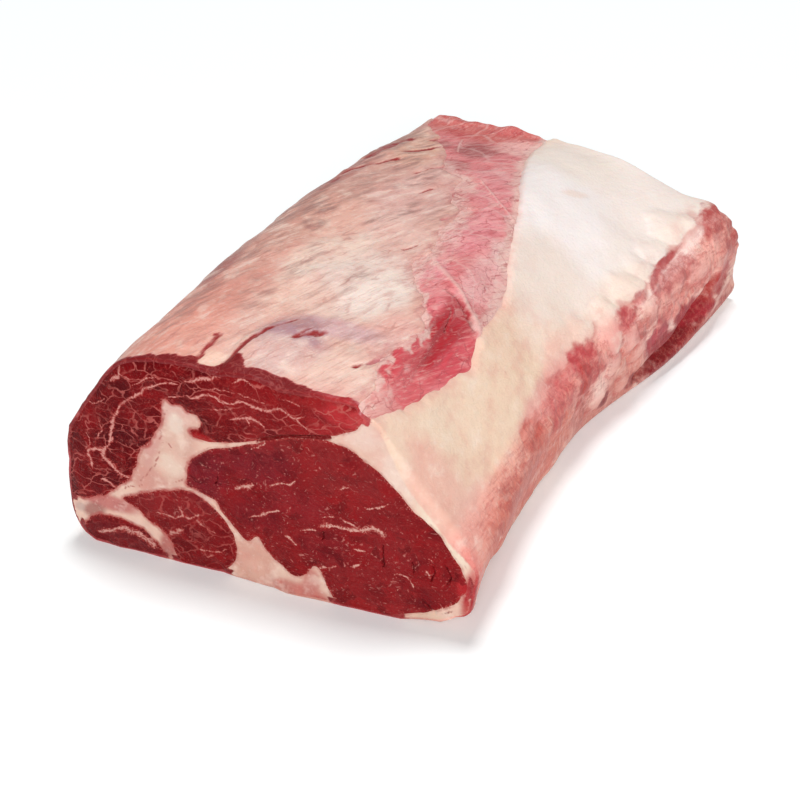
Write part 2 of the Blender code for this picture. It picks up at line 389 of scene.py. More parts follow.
# Soft patches of colour: (x or rise, y, half width, half length, turn in degrees, colour, share)
SILVERSKIN_PATCHES = [
    (-100, 20, 18, 175, 0, "b88478", 0.9),
    (-72, -150, 22, 44, 0, "d6907f", 0.8),
    (-66, -105, 18, 30, 0, "cf8f80", 0.7),
    (-56, -160, 16, 20, 0, "dfa291", 0.7),
    (-70, -20, 16, 60, 0, "c49484", 0.7),
    (-62, 60, 18, 40, 4, "cb9c8f", 0.7),
    (-64, 118, 16, 40, 14, "d9ac96", 0.9),
    (-50, 150, 10, 16, 14, "e0bba8", 0.7),
    (-86, 140, 10, 44, 10, "a87c70", 0.7),
    (-80, 50, 7, 34, 0, "a8615a", 0.7),
    (-84, -84, 6, 22, 0, "9c5350", 0.8),
    (-28, 40, 22, 44, 0, "d6aea5", 0.8),
    (-20, -30, 30, 40, 0, "dcb9ae", 0.7),
    (-45, -40, 14, 50, 8, "dcae9d", 0.7),
    (-34, -62, 18, 36, 0, "e8d2c2", 0.85),
    (-10, -78, 28, 34, 0, "e2cfc4", 0.9),
    (4, -84, 16, 26, 0, "e6d8cd", 0.9),
    (-30, -104, 18, 20, 0, "e4bfae", 0.7),
    (10, -146, 24, 24, 0, "e6c4b4", 0.8),
    (26, -118, 12, 20, 0, "dfb2a8", 0.7),
    (2, -122, 24, 8, 0, "ccaaae", 0.75),
    (-13, -147, 17, 27, 8, "ac868e", 1.0),
    (-20, -140, 5, 12, 10, "b997a0", 0.6),
    (-40, -172, 8, 9, 0, "eac8b2", 0.9),
    (20, -172, 20, 8, 0, "e2aba0", 0.7),
    (6, -158, 50, 14, 0, "e8cabb", 0.6),
    (-103, 40, 8, 90, 0, "99464a", 0.9),
]
FAT_PATCHES = [
    (64, -60, 60, 130, 0, "eecbb2", 1.0),
    (56, -120, 16, 50, 0, "f2d6bd", 0.7),
    (76, -60, 14, 50, 0, "f0d2b8", 0.7),
    (66, 10, 40, 40, 0, "f2d9ca", 0.7),
    (50, 120, 60, 100, 0, "f4e6de", 1.0),
    (34, 74, 30, 66, 14, "f7edea", 0.9),
    (50, 22, 22, 34, 0, "eddacd", 0.8),
    (20, 150, 24, 30, 14, "f5e6da", 0.7),
    (36, 107, 3, 9, -30, "eed2c2", 0.5),
    (74, -165, 18, 18, 0, "e8b2a2", 0.8),
    (52, -172, 10, 10, 0, "efcfb8", 0.8),
]
# At the right side, (rise, y, half height, half length, turn, colour, share).
SIDE_PATCHES = [
    (48, -20, 16, 60, 0, "d98f84", 0.7),
    (66, 60, 12, 30, 0, "f3dccb", 0.6),
    (68, 136, 10, 24, 0, "f5e6da", 0.8),
    (68, -10, 8, 24, 0, "efc4b4", 0.7),
    (58, -40, 9, 40, 0, "e2a097", 0.8),
    (56, -150, 12, 24, 0, "eab5a6", 0.8),
    (50, -110, 9, 40, 0, "e4aa98", 0.8),
    (44, -160, 12, 26, 0, "e0a494", 0.8),
    (24, -110, 24, 60, 0, "c9705c", 0.95),
    (28, -50, 20, 34, 0, "cb6e5a", 0.9),
    (40, 42, 12, 20, 30, "d68e86", 0.8),
    (24, 44, 14, 22, 30, "cf8a78", 0.8),
    (46, 90, 7, 34, 0, "e0a294", 0.8),
    (48, 148, 8, 26, 0, "e8ab9b", 0.8),
    (36, 110, 7, 46, 0, "d98478", 0.8),
    (36, 165, 12, 18, 0, "cf7f74", 0.8),
    (10, 140, 8, 40, 0, "cf8878", 0.7),
    (10, 20, 10, 50, 0, "bf7464", 0.8),
    (30, -176, 24, 10, 0, "d98a80", 0.8),
]
# Where lean shows through at the side, same layout with the lean's colour.
SIDE_LEAN = [
    (52, -70, 10, 16, 0, "cf6458", 0.62),
    (50, -34, 12, 24, 0, "cd5558", 0.55),
    (54, -2, 9, 18, 0, "ca5054", 0.75),
    (44, -4, 9, 20, 0, "c23c3c", 0.75),
    (32, -10, 13, 15, 40, "c0443c", 0.62),
    (20, 0, 10, 12, 40, "c04c40", 0.48),
    (55, 50, 7, 11, 0, "c85458", 0.75),
    (58, 66, 4, 8, 0, "cc7272", 0.60),
    (62, 104, 2.5, 22, 0, "bd5c5c", 0.90),
    (56, 88, 8, 9, 0, "ca7070", 0.70),
    (53, 112, 7, 18, 0, "cd7470", 0.62),
    (56, 164, 9, 18, 0, "c4605c", 0.75),
    (46, 172, 10, 12, 0, "b9504c", 0.70),
    (44, 60, 8, 14, 0, "cb665e", 0.55),
    (26, 76, 12, 14, 0, "b8404a", 0.95),
    (17, 92, 8, 26, 8, "9c1c26", 1.0),
    (22, 118, 9, 28, 12, "ae2c36", 1.0),
    (24, 150, 8, 20, 0, "c04440", 0.85),
    (14, 23, 4, 6, 0, "8a3634", 0.95),
    (11, 52, 4, 9, 0, "9c4440", 0.85),
    (6, 102, 8, 34, 0, "8e2226", 0.9),
    (5, 140, 6, 34, 0, "b65048", 0.7),
    (3, -150, 6, 20, 0, "b2393a", 0.9),
    (36, -100, 14, 44, 0, "bf5f52", 0.45),
    (22, -177, 17, 6, 0, "b02c30", 0.9),
]
# Greyish brown streaks in the silverskin, (x, y, half width, half length, turn, strength).
GRIME = [
    (-66, -6, 9, 14, 0, 0.9), (-62, -24, 8, 9, 0, 0.8), (-66, -64, 5, 6, 0, 0.8),
    (-45, -66, 7, 20, 0, 0.6), (-58, 82, 9, 26, 6, 0.8), (-37, 60, 8, 14, 0, 0.7),
    (-62, 122, 7, 12, 10, 0.8), (-72, 134, 8, 14, 10, 0.9), (-28, 4, 3, 26, -6, 0.8),
    (-12, -76, 5, 14, 0, 0.45), (-60, 30, 16, 26, 0, 0.5), (-78, -120, 8, 40, 0, 0.6),
    (-50, -110, 8, 20, 20, 0.5), (-82, 20, 9, 60, 0, 0.8), (-80, 100, 8, 50, 0, 0.8),
    (-74, -60, 10, 40, 0, 0.6), (-8, 20, 10, 20, 0, 0.4), (-30, 90, 10, 16, 0, 0.5),
    (-98, 0, 14, 170, 0, 0.8), (20, -128, 14, 12, 0, 0.35), (-24, -100, 10, 20, 0, 0.3),
    (-29, 3, 2, 18, -30, 1.0),
]
# In the bare strip, same layout as the silverskin's.
BARE_PATCHES = [
    (-45, 170, 46, 20, 0, "b24844", 1.0),
    (-33, 132, 14, 19, 10, "861e28", 1.0),
    (-55, 126, 6, 12, 10, "8c2a30", 0.9),
    (-32, 92, 9, 12, 0, "982a32", 0.95),
    (-16, 150, 15, 16, 0, "deaaa4", 0.85),
    (-12, 112, 14, 20, 0, "c96e72", 0.8),
    (-4, 88, 12, 14, 0, "d0868a", 0.7),
    (6, 60, 17, 17, 0, "cc767c", 0.9),
    (-10, 44, 6, 10, 0, "c06a6e", 0.6),
    (14, 4, 13, 28, 0, "cf7c84", 0.95),
    (18, 34, 10, 12, 0, "d28489", 0.8),
    (16, -48, 11, 14, 0, "cf8086", 0.95),
    (37, -14, 9, 40, 0, "dc9c9c", 0.9),
    (36, 10, 8, 14, 0, "e3b4b0", 0.7),
    (24, -70, 12, 16, 0, "d48c8c", 0.8),
    (34, -86, 8, 20, 0, "cc6c72", 0.85),
    (40, -136, 10, 36, 0, "bc4048", 0.9),
    (44, -92, 7, 36, 0, "9c1c26", 1.0),
    (43, -66, 8, 8, 0, "a42832", 0.9),
    (52, -88, 4, 26, 0, "bf4650", 0.9),
    (38, -112, 6, 14, 0, "c25058", 0.7),
    (48, -146, 6, 26, 0, "c65a5e", 0.8),
    (42, -174, 10, 9, 0, "cc5a58", 0.8),
]
# Pale sinews over the bare strip: half width and the line through (x, y).
SINEWS = [
    (1.8, [(-2, -18), (6, -27), (16, -39), (28, -49), (38, -54), (48, -57), (54, -66)]),
    (0.7, [(-10, 78), (0, 66), (10, 55), (18, 49), (27, 43)]),
    (0.6, [(2, 34), (9, 37), (12, 45), (13, 52)]),
    (0.8, [(-50, 146), (-46, 132), (-41, 118)]),
]
# Gaps between its strands, sunk in the relief and darkened with painted shade.
GAPS = [
    (1.7, [(33, -60), (40, -59.5), (48, -61.5)]),
    (0.6, [(40, -72), (44, -84)]),
]
# Slits in the silverskin with red lean in them.
RED_SLITS = [
    (1.2, [(-48, -178), (-47, -166), (-48, -150)]),
    (1.3, [(-33, -170), (-31, -156), (-27, -140), (-20, -123)]),
    (1.5, [(-11, -141), (-7, -135), (-3, -128)]),
    (0.9, [(-9, -130), (-12, -142)]),
    (1.2, [(24, -149), (30, -140), (36, -131)]),
    (0.9, [(-6, -32), (-2, -24)]),
    (0.7, [(-4, 12), (-2, 15)]),
    (1.4, [(-80, 30), (-81, 44)]),
    (5.5, [(-106, -47), (-106, -32), (-106, -18)]),
    (1.8, [(-114, -8), (-113, 19), (-112, 46)]),
    (5.0, [(-103, 56), (-102, 80), (-99, 108)]),
    (2.6, [(-82, 84), (-80, 110), (-77, 130)]),
    (1.5, [(-86, 50), (-79, 62), (-71, 72), (-64, 84)]),
    (1.2, [(-66, 98), (-58, 108), (-52, 122)]),
    (1.3, [(-62, 130), (-56, 142)]),
    (0.7, [(-44, 66), (-38, 78), (-34, 84)]),
    (0.6, [(-30, 40), (-26, 50)]),
]


def dab(places, patch, wander):
    """How strongly a soft-edged patch covers each place, up to the share that ends it."""
    a, b, half_a, half_b, turn = patch[:5]
    angle = math.radians(turn)
    da, db = places[:, 0] - a, places[:, 1] - b
    across = (da * math.cos(angle) + db * math.sin(angle)) / half_a
    along = (db * math.cos(angle) - da * math.sin(angle)) / half_b
    return patch[-1] * (1 - smooth(0.62, 1.38, np.hypot(across, along) + wander))


def paint(colour, places, patches, wander):
    """Colour with soft patches of other colours laid over it one after the other."""
    for patch in patches:
        colour = mix(colour, linear(patch[5]), dab(places, patch, wander)[:, None])
    return colour


def cover(places, patches, wander):
    """The strongest cover of any of the patches at each place."""
    return np.max([dab(places, patch, wander) for patch in patches], axis=0)


def along_lines(places, lines):
    """1 in the middle of each line and 0 two half widths away from it."""
    value = np.zeros(len(places))
    for width, line in lines:
        value = np.maximum(value, 1 - reach(places, curve(line)) / (2 * width))
    return value


# ---- relief and colour of the skin and the bare strip

# How far behind the front cut face the red rim of lean goes on: (x, mm).
RIM_RED = [
    (-125, 0.6), (-90, 0.6), (-82, 3.5), (-76, 1.0), (-70, 3.0), (-66, 0.8), (-61, 5), (-52, 6),
    (-47, 7), (-43, 2.5), (-36, 4), (-31, 17), (-26, 12), (-21, 7), (-12, 6), (-2, 7), (10, 6),
    (15, 3), (24, 1.5), (34, 2.5), (38, 0.5), (43, -2),
]
# The deep fold low on the right side and the flap of fat under it: (y, rise).
FOLD = [(58, 9), (72, 12), (88, 13), (104, 17), (120, 21), (134, 26), (146, 32)]
FLAP = [(60, 4), (85, 5), (110, 8), (130, 12), (150, 17), (168, 18)]
# Lobes of fat on the right side: (rise, y, half height, half length, how far they stand out).
LOBES = [
    (72, 134, 10, 18, 2.5), (70, 108, 9, 14, 2.3), (69, 86, 8, 10, 1.9), (66, 64, 8, 13, 2.2),
    (62, 38, 8, 10, 2.2), (66, 14, 7, 10, 1.4), (50, 28, 7, 8, 1.7), (42, 44, 7, 9, 1.7),
    (34, 28, 6, 8, 1.4), (48, 66, 6, 10, 1.3), (30, 52, 6, 9, 1.3), (50, 100, 6, 13, 1.0),
    (44, 126, 6, 14, 1.0), (18, 14, 6, 11, 1.6), (64, -20, 6, 14, 0.9), (14, 40, 5, 9, 1.4),
]


def lobes(places, wander):
    """Height of the lobes of fat, and where their lower edges are, from 0 to 1, for the painted
    shade there.
    """
    height, foot = np.zeros(len(places)), np.zeros(len(places))
    for rise, y, half_rise, half_y, stands in LOBES:
        up = (places[:, 0] - rise) / half_rise
        apart = np.hypot(np.where(up > 0, 0.6 * up, up), (places[:, 1] - y) / half_y) + wander
        dome = np.clip(1 - apart ** 2, 0, 1) ** np.where(up > 0, 1.0, 0.6)
        height = np.maximum(height, stands * dome)
        # their lower edges, where painted shade goes
        edge = (1 - smooth(0.0, 0.3, np.abs(apart - 1.05))) * smooth(0.1, -0.3, up)
        foot = np.maximum(foot, edge)
    return height, foot


def survey(points, rise, depth):
    """Where places on the plain skin lie, for the functions that shape and colour it.

    to_left and to_right are distances in mm from the bare strip's two borders into the fat,
    and bare is the greater of them, below 0 in the strip.
    """
    x, y, z = points.T
    at = SimpleNamespace(points=points, x=x, y=y, z=z, rise=rise, depth=depth)
    at.over = (rise > 0) & (z > 1.0)
    at.fine = soft_noise(points, 5.0, 3, 2)
    at.wander = 0.16 * soft_noise(points, 14.0, 4, 3) + 0.10 * at.fine
    at.threads = soft_noise(points * (1, 0.16, 1), 3.6, 13, 2)
    torn_edge = 1.6 * soft_noise(points, 7.0, 5, 3)
    left_y, left_x = np.array(STRIP_LEFT).T
    right_y, right_x = np.array(STRIP_RIGHT).T
    at.to_left = (np.interp(y, left_y, left_x) - x) * 0.9 + torn_edge * 1.5
    at.to_right = (x - np.interp(y, right_y, right_x)) * 0.9 + torn_edge * 0.6
    at.bare = np.where(at.over, np.maximum(at.to_left, at.to_right), 50.0)
    at.right_side = at.to_right > at.to_left
    at.on_film = at.over & ~at.right_side
    at.top = np.column_stack((x, y))
    at.side = np.column_stack((rise, y))
    return at


def broad_form(at):
    """Swellings and hollows in mm that fat and bare lean follow alike."""
    x, y, z, rise, depth = at.x, at.y, at.z, at.rise, at.depth
    # the swelling under the silverskin behind the cap muscle's face
    oval = np.hypot((x + 17) / 19, (y + 156) / 36)
    form = 4.8 * np.clip(1 - oval ** 2, 0, 1) ** 0.7 * (rise > TOP_RISE) * (z > BROW_HEIGHT)
    # the left wall is drawn in under the shoulder
    form -= 2.6 * smooth(-84, -98, x) * smooth(50, 70, z) * smooth(-165, -140, y)
    # a hollow low on the right behind the front face, swellings at the far end and the waist
    form -= 5.0 * smooth(5, 16, depth) * smooth(-112, -132, y) * smooth(34, 18, rise)
    form += 5.0 * smooth(110, 160, y) * smooth(34, 12, np.abs(rise - 48))
    form += 2.5 * smooth(40, 10, np.abs(y + 25)) * smooth(16, 4, np.abs(rise - 12))
    # a swelling low on the left behind the front face, and a dip in the far end of the top
    form += 2.0 * smooth(40, 10, depth) * smooth(24, 8, np.abs(z - 28)) * (x < -80)
    form -= 2.0 * smooth(150, 176, y) * smooth(26, 8, np.abs(x - 14)) * (rise > 90)
    return form


def fat_form(at, form):
    """Relief of the fat in mm, and its lobes: how far they stand out and where they end, for the
    painted shade there.
    """
    y, rise, right_side = at.y, at.rise, at.right_side
    calm = smooth(62, 84, rise) * right_side
    relief = form + 0.9 * soft_noise(at.points, 24.0, 7)
    relief += (0.45 - 0.33 * calm) * soft_noise(at.points, 8.0, 8, 2)
    domes, lobe_shade_edge = lobes(at.side, 0.34 * soft_noise(at.points, 11.0, 25, 3))
    domes, lobe_shade_edge = domes * right_side, lobe_shade_edge * right_side
    # small pillows between the lobes, and the scalloped brow over them
    lobed = smooth(20, 34, rise) * smooth(64, 54, rise) * smooth(-90, -30, y) * right_side
    first, second = cells(at.points * (1, 0.8, 1), 12.0, 11)
    pillows = smooth(0.0, 0.35, second - first)
    relief += (pillows - 0.7) * 1.1 * lobed * smooth(0.6, 0.0, domes)
    scallops = 60 + 3.5 * np.sin((y - 20) / 13.0) + 2.5 * soft_noise(at.points, 16.0, 15)
    relief += 1.2 * smooth(-2.5, 2.5, rise - scallops) * smooth(20, 45, y) * right_side
    relief += domes
    relief -= 6.5 * np.exp(-(reach(at.side[:, ::-1], curve(FOLD)) / 3.6) ** 2) * at.over
    relief += 2.2 * np.exp(-(reach(at.side[:, ::-1], curve(FLAP)) / 4.0) ** 2) * at.over
    relief += 0.40 * at.threads * (1 - smooth(48, 64, rise)) * at.over
    relief += 0.45 * at.threads * at.on_film
    return relief, domes, lobe_shade_edge


def lean_form(at, form):
    """Relief of the bare lean in mm, with its sinews and gaps from 0 to 1."""
    sinew = np.clip(along_lines(at.top, SINEWS), 0, 1) * at.over
    gap = np.clip(along_lines(at.top, GAPS) + 0.2 * at.fine, 0, 1) * at.over
    strands = soft_noise(at.points * (1, 0.1, 1), 4.4, 17, 2)
    hollow = 1 - smooth(0.3, 1.1, np.hypot((at.x - 46) / 11, (at.y + 100) / 44))
    relief = form - 0.6 + 0.5 * soft_noise(at.points, 16.0, 19) + 0.40 * strands
    relief -= 1.4 * smooth(-16, 0, at.to_right) + hollow * (2.6 - 1.1 * strands)
    relief += 0.7 * smooth(0.1, 0.9, sinew) - 1.3 * smooth(0.2, 0.9, gap)
    far_end = smooth(LENGTH - 16, LENGTH - 2, at.depth)
    far_end = far_end * smooth(-86, -78, at.x) * smooth(4, -4, at.x)
    relief += far_end * (1.2 + 3.6 * soft_noise(at.points, 15.0, 23, 2))
    return relief, sinew, gap


def joined_at_borders(at, fat_relief, lean_relief):
    """Relief of the fat where it ends in a step at the strip's borders and dips under it."""
    step = np.where(at.right_side, 2.0, 0.5 + 0.7 * smooth(88, 108, at.y))
    width = np.where(at.right_side, 3.4, 2.2)
    outside = mix(lean_relief + step, fat_relief, smooth(0, 16, at.bare))
    return mix(lean_relief - 1.8, outside, smooth(-0.6 * width, width, at.bare))


def skin_tint(at, domes, lobe_shade_edge):
    """Colour of the silverskin on the left and of the fat on the right and below, with the lobes'
    tops paler, partly their own paler fat and partly a painted highlight, and painted shade along
    their lower edges.
    """
    film = paint(np.tile(linear("d9aea0"), (len(at.x), 1)), at.top, SILVERSKIN_PATCHES, at.wander)
    film = np.minimum(film * FILM_GLOW, BRIGHTEST)
    fat = paint(np.tile(linear("ecccb6"), (len(at.x), 1)), at.top, FAT_PATCHES, at.wander)
    fat = paint(fat, at.side, SIDE_PATCHES, at.wander)
    # the lobes' tops paler: partly their own paler fat, partly a painted highlight
    pale = smooth(0.2, 1.8, domes) * (0.20 + 0.20 * smooth(66, 40, at.rise))
    fat = mix(fat, linear("f4d4c4"), pale[:, None])
    # painted shade along the lobes' lower edges
    painted_lobe_shade = lobe_shade_edge * smooth(0.8, 0.2, domes) * smooth(80, 62, at.rise)
    fat = mix(fat, linear("c4625a"), 0.5 * painted_lobe_shade[:, None])
    low = smooth(66, 54, at.rise)[:, None]
    fat = np.minimum(fat * mix(np.ones(3), SIDE_GLOW, low), BRIGHTEST)
    blush = smooth(5, 0, at.bare) * (0.5 + 0.5 * at.fine)
    fat = mix(fat, linear("e3aaa0"), 0.6 * blush[:, None])
    tint = mix(film, fat, smooth(-2, 2, at.to_right)[:, None])
    return mix(tint, linear("cf9486"), at.under[:, None])


def exposed_lean(at):
    """How much lean shows through the skin, its colour, and the slits in the silverskin."""
    lean = np.zeros(len(at.x))
    tint = np.tile(linear("b9474b"), (len(at.x), 1))
    for patch in SIDE_LEAN:
        share = dab(at.side, patch, 2.8 * at.wander) * at.over * at.right_side
        tint = mix(tint, linear(patch[5]), smooth(0.1, 0.6, share)[:, None])
        lean = np.maximum(lean, share)
    line = along_lines(at.top, RED_SLITS)
    broken = soft_noise(at.points * (1, 0.4, 1), 3.0, 29, 2)
    slits = np.clip(1.2 * line + 0.9 * broken * (line > 0.05), 0, 1) * (at.rise > TOP_RISE)
    tint = mix(tint, linear("9c2a2c"), smooth(0.2, 0.6, slits)[:, None])
    torn = 0.34 * smooth(12, 0, at.bare + 6 * at.threads) * at.on_film
    tint = mix(tint, linear("d08486"), smooth(0.05, 0.2, torn)[:, None])
    rim_x, rim_depth = np.array(RIM_RED).T
    red_edge = np.interp(at.x, rim_x, rim_depth) + 2.6 * at.fine - at.depth
    rim = smooth(-1.2, 1.2, red_edge) * (at.rise > TOP_RISE) * smooth(6, 16, at.z)
    rim_tint = mix(linear("7c0d13"), linear("b02a2e"), smooth(5, 30, at.x)[:, None])
    tint = mix(tint, rim_tint, smooth(0.2, 0.6, rim)[:, None])
    return np.max([lean, 1.6 * rim, 0.9 * slits, torn], axis=0), tint, slits


def strip_tint(at, gap):
    """Colour of the bare lean, paler where a film of silverskin is left over it, with painted shade
    in the gaps between its strands.
    """
    tint = np.tile(linear("c96a6e"), (len(at.x), 1))
    tint = paint(tint, at.top, BARE_PATCHES, 1.2 * at.wander)
    tint = np.minimum(tint * STRIP_GLOW, 0.9)
    film_width = mix(2.5, 12.0, smooth(-66, -44, at.y))
    film = smooth(0, 1, 1 + (at.to_left + 6 * at.fine + 1) / film_width) * smooth(108, 88, at.y)
    film = np.maximum(film, smooth(-6, -1, at.to_right + 3 * at.fine) * smooth(-70, -50, at.y))
    film = np.maximum(film, 0.7 * smooth(-146, -164, at.y + 8 * at.fine))
    tint = mix(tint, linear("edc8bd"), 0.85 * film[:, None])
    tint = mix(tint, linear("f4ccc2"), 0.16 * smooth(-70, -30, at.y)[:, None])
    # painted shade in the gaps between strands
    return mix(tint, linear("741219"), 0.6 * smooth(0.3, 0.95, gap)[:, None])


def looks(points, rise, depth):
    """Relief, colours and exposed lean at places on the plain skin."""
    at = survey(points, rise, depth)
    at.under = smooth(3.0, 1.0, at.z)
    form = broad_form(at)
    fat_relief, domes, lobe_shade_edge = fat_form(at, form)
    lean_relief, sinew, gap = lean_form(at, form)
    fat_relief = joined_at_borders(at, fat_relief, lean_relief)
    lean, lean_tint, slits = exposed_lean(at)
    fat_relief -= 0.8 * slits
    foot = smooth(26, 6, at.depth) * smooth(58, 74, at.x) * smooth(16, 6, at.z)
    mottle = 1 - 0.8 * smooth(-40, 30, at.y) * smooth(66, 80, at.rise) * smooth(-2, 6, at.to_right)
    side = smooth(64, 52, at.rise) * at.right_side * at.over
    side = side * (1 - 0.6 * smooth(-130, -176, at.y)) * smooth(1.3, 0.3, domes)
    film = at.on_film * (1 - at.under)
    grime = cover(at.top, GRIME, 2.0 * at.wander) * film
    return {
        "bare": at.bare, "fat_relief": fat_relief * smooth(2, 14, at.z) - 4.5 * foot,
        "lean_relief": lean_relief, "tint": skin_tint(at, domes, lobe_shade_edge), "lean": lean,
        "lean_tint": lean_tint, "bare_tint": strip_tint(at, gap), "sinew": sinew,
        "grime": grime, "mottle": mottle, "side": side, "film": film,
        "calm": smooth(-90, -40, at.y),
    }


# ---- making meshes

def new_piece(name, points, faces, values, material, node):
    """A finished piece: mesh, per-point values, material and its place in the frame."""
    mesh = bpy.data.meshes.new(name)
    mesh.from_pydata(((points + to_model) * MM).tolist(), [], faces)
    for key, value in values.items():
        value = np.asarray(value, np.float32)
        if value.ndim == 2:
            layer = mesh.attributes.new(key, "FLOAT_COLOR", "POINT")
            full = np.column_stack((value, np.ones(len(value), np.float32)))
            layer.data.foreach_set("color", full.ravel())
        else:
            layer = mesh.attributes.new(key, "FLOAT", "POINT")
            layer.data.foreach_set("value", value)
    mesh.shade_smooth()
    mesh.set_sharp_from_angle(angle=math.radians(SHARPEST))
    mesh.materials.append(material)
    mesh.update()
    piece = bpy.data.objects.new(name, mesh)
    bpy.context.scene.collection.objects.link(piece)
    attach(piece, "root")
    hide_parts(node)
    return piece


def tube_faces(rings, flip=False):
    """Quads between closed rings of point numbers, facing outwards unless flipped."""
    faces = []
    for first, second in zip(rings, rings[1:]):
        for k in range(len(first)):
            j = (k + 1) % len(first)
            face = (first[k], first[j], second[j], second[k])
            faces.append(face[::-1] if flip else face)
    return faces


def disc(outline, holes, step):
    """Triangles that fill an outline round its holes: points and point numbers.

    The outline's points come first, then the holes' in order, then those inside.
    """
    borders = [outline, *holes]
    low, high = outline.min(axis=0), outline.max(axis=0)
    columns = np.arange(low[0], high[0], step)
    rows = np.arange(low[1], high[1], step * 0.866)
    grid = np.array([(x + (k % 2) * step / 2, z) for k, z in enumerate(rows) for x in columns])
    keep = inside(grid, outline)
    for hole in holes:
        keep &= ~inside(grid, hole)
    grid = grid[keep]
    for border in borders:
        grid = grid[reach(grid, border, closed=True) > 0.55 * step]
    points = np.vstack([*borders, grid])
    loops, start = [], 0
    for border in borders:
        loops.append(list(range(start, start + len(border))))
        start += len(border)
    edges = [(a, b) for loop in loops for a, b in zip(loop, loop[1:] + loop[:1])]
    vectors = [Vector(p) for p in points]
    out = delaunay_2d_cdt(vectors, edges, [loops[0]], 1, 1e-6)
    if len(out[0]) != len(points):
        raise ValueError("borders on a cut face touch or cross")
    triangles = np.array(out[2])
    middles = points[triangles].mean(axis=1)
    solid = np.ones(len(triangles), bool)
    for hole in holes:
        solid &= ~inside(middles, hole)
    return points, triangles[solid], loops


# ---- the muscles' outlines from end to end

def extent(t):
    """Left edge, right edge and height of the roast at t."""
    s = along_stations(SECTIONS, t)
    return (s[0, 0] + s[1, 0]) / 2, (s[4, 0] + s[5, 0]) / 2, (s[2, 1] + s[3, 1]) / 2


def carried(outline, t, back=False):
    """An outline of the front cut face at t; with back, one at t taken to the front."""
    left0, right0, height0 = extent(0)
    left, right, height = extent(t)
    scale = np.array(((right - left) / (right0 - left0), height / height0))
    start0, start = np.array((left0, BASE_FILM)), np.array((left, BASE_FILM))
    if back:
        return start0 + (outline - start) / scale
    return start + (outline - start0) * scale


def at_back(line):
    """A border of the front cut face as it is on the back one."""
    return carried(line, 1.0) * (BACK_WIDTH, 1.0) + (0, BACK_RISE)


def slimmed(outline, amount):
    """Outline moved inwards, less where it is thin, so that it doesn't cross itself."""
    inwards = inset(outline, 1.0) - outline
    amounts = np.full(len(outline), float(amount))
    for _ in range(7):
        gap = reach(outline + inwards * amounts[:, None], outline, closed=True)
        amounts = np.where(gap < 0.88 * amounts, 0.7 * amounts, amounts)
    for _ in range(6):
        amounts = (np.roll(amounts, 1) + amounts + np.roll(amounts, -1)) / 3
    return outline + inwards * amounts[:, None]


def cap_inner_at_back(tip_x):
    """The cap muscle's inner border on the back cut face, drawn in to a tip near tip_x."""
    line = at_back(np.array(CAP_INNER_EDGE))
    bend = at_back(np.array([(CAP_BEND, 0.0)]))[0, 0]
    beyond = line[:, 0] > bend
    squeeze = (tip_x - 4 - bend) / (line[0, 0] - bend)
    line[beyond, 0] = bend + (line[beyond, 0] - bend) * squeeze
    return line


def cap_outline(ring, rise, t, tip_x, inner, count=None):
    """The cap muscle's outline inside a skin ring: up from its foot to its tip and back."""
    line = inset(ring[:, [0, 2]], CAP_SKIN - LEAN_ROUNDING)
    foot = carried(np.array([(0, CAP_FOOT)]), t)[0, 1]
    upper = (rise > SLOPE_RISE) & (line[:, 1] > foot)
    outer = line[np.argmax(upper):np.argmax(upper & (line[:, 0] > tip_x))]
    inner = curve(np.vstack((outer[-1:], inner, outer[:1])))[3:-3]
    outline = np.vstack((outer, ragged(inner)))
    if count is None:
        sides = np.linalg.norm(np.roll(outline, -1, axis=0) - outline, axis=1)
        count = int(sides.sum() / BORDER_STEP)
    return even(outline, count, closed=True)


def ragged(line):
    """A border with the small unevenness of cut meat, except close to the base."""
    shifts = [soft_noise(in_space(line), 6.0, seed, 3) for seed in (71, 72)]
    amount = (0.8 + 0.9 * smooth(-42, -56, line[:, 0])) * smooth(4, 9, line[:, 1])
    return line + np.column_stack(shifts) * amount[:, None]


def both_ends(points):
    """A muscle's border on the front cut face and on the back one."""
    line = curve(points, closed=True)
    sides = np.linalg.norm(np.roll(line, -1, axis=0) - line, axis=1)
    line = even(line, int(sides.sum() / BORDER_STEP), closed=True)
    return ragged(line), at_back(line)


# ---- the cut faces

CUT_FAT_COLOUR = "e2bba9"
LEAN_IN_FAT = "7c1419"
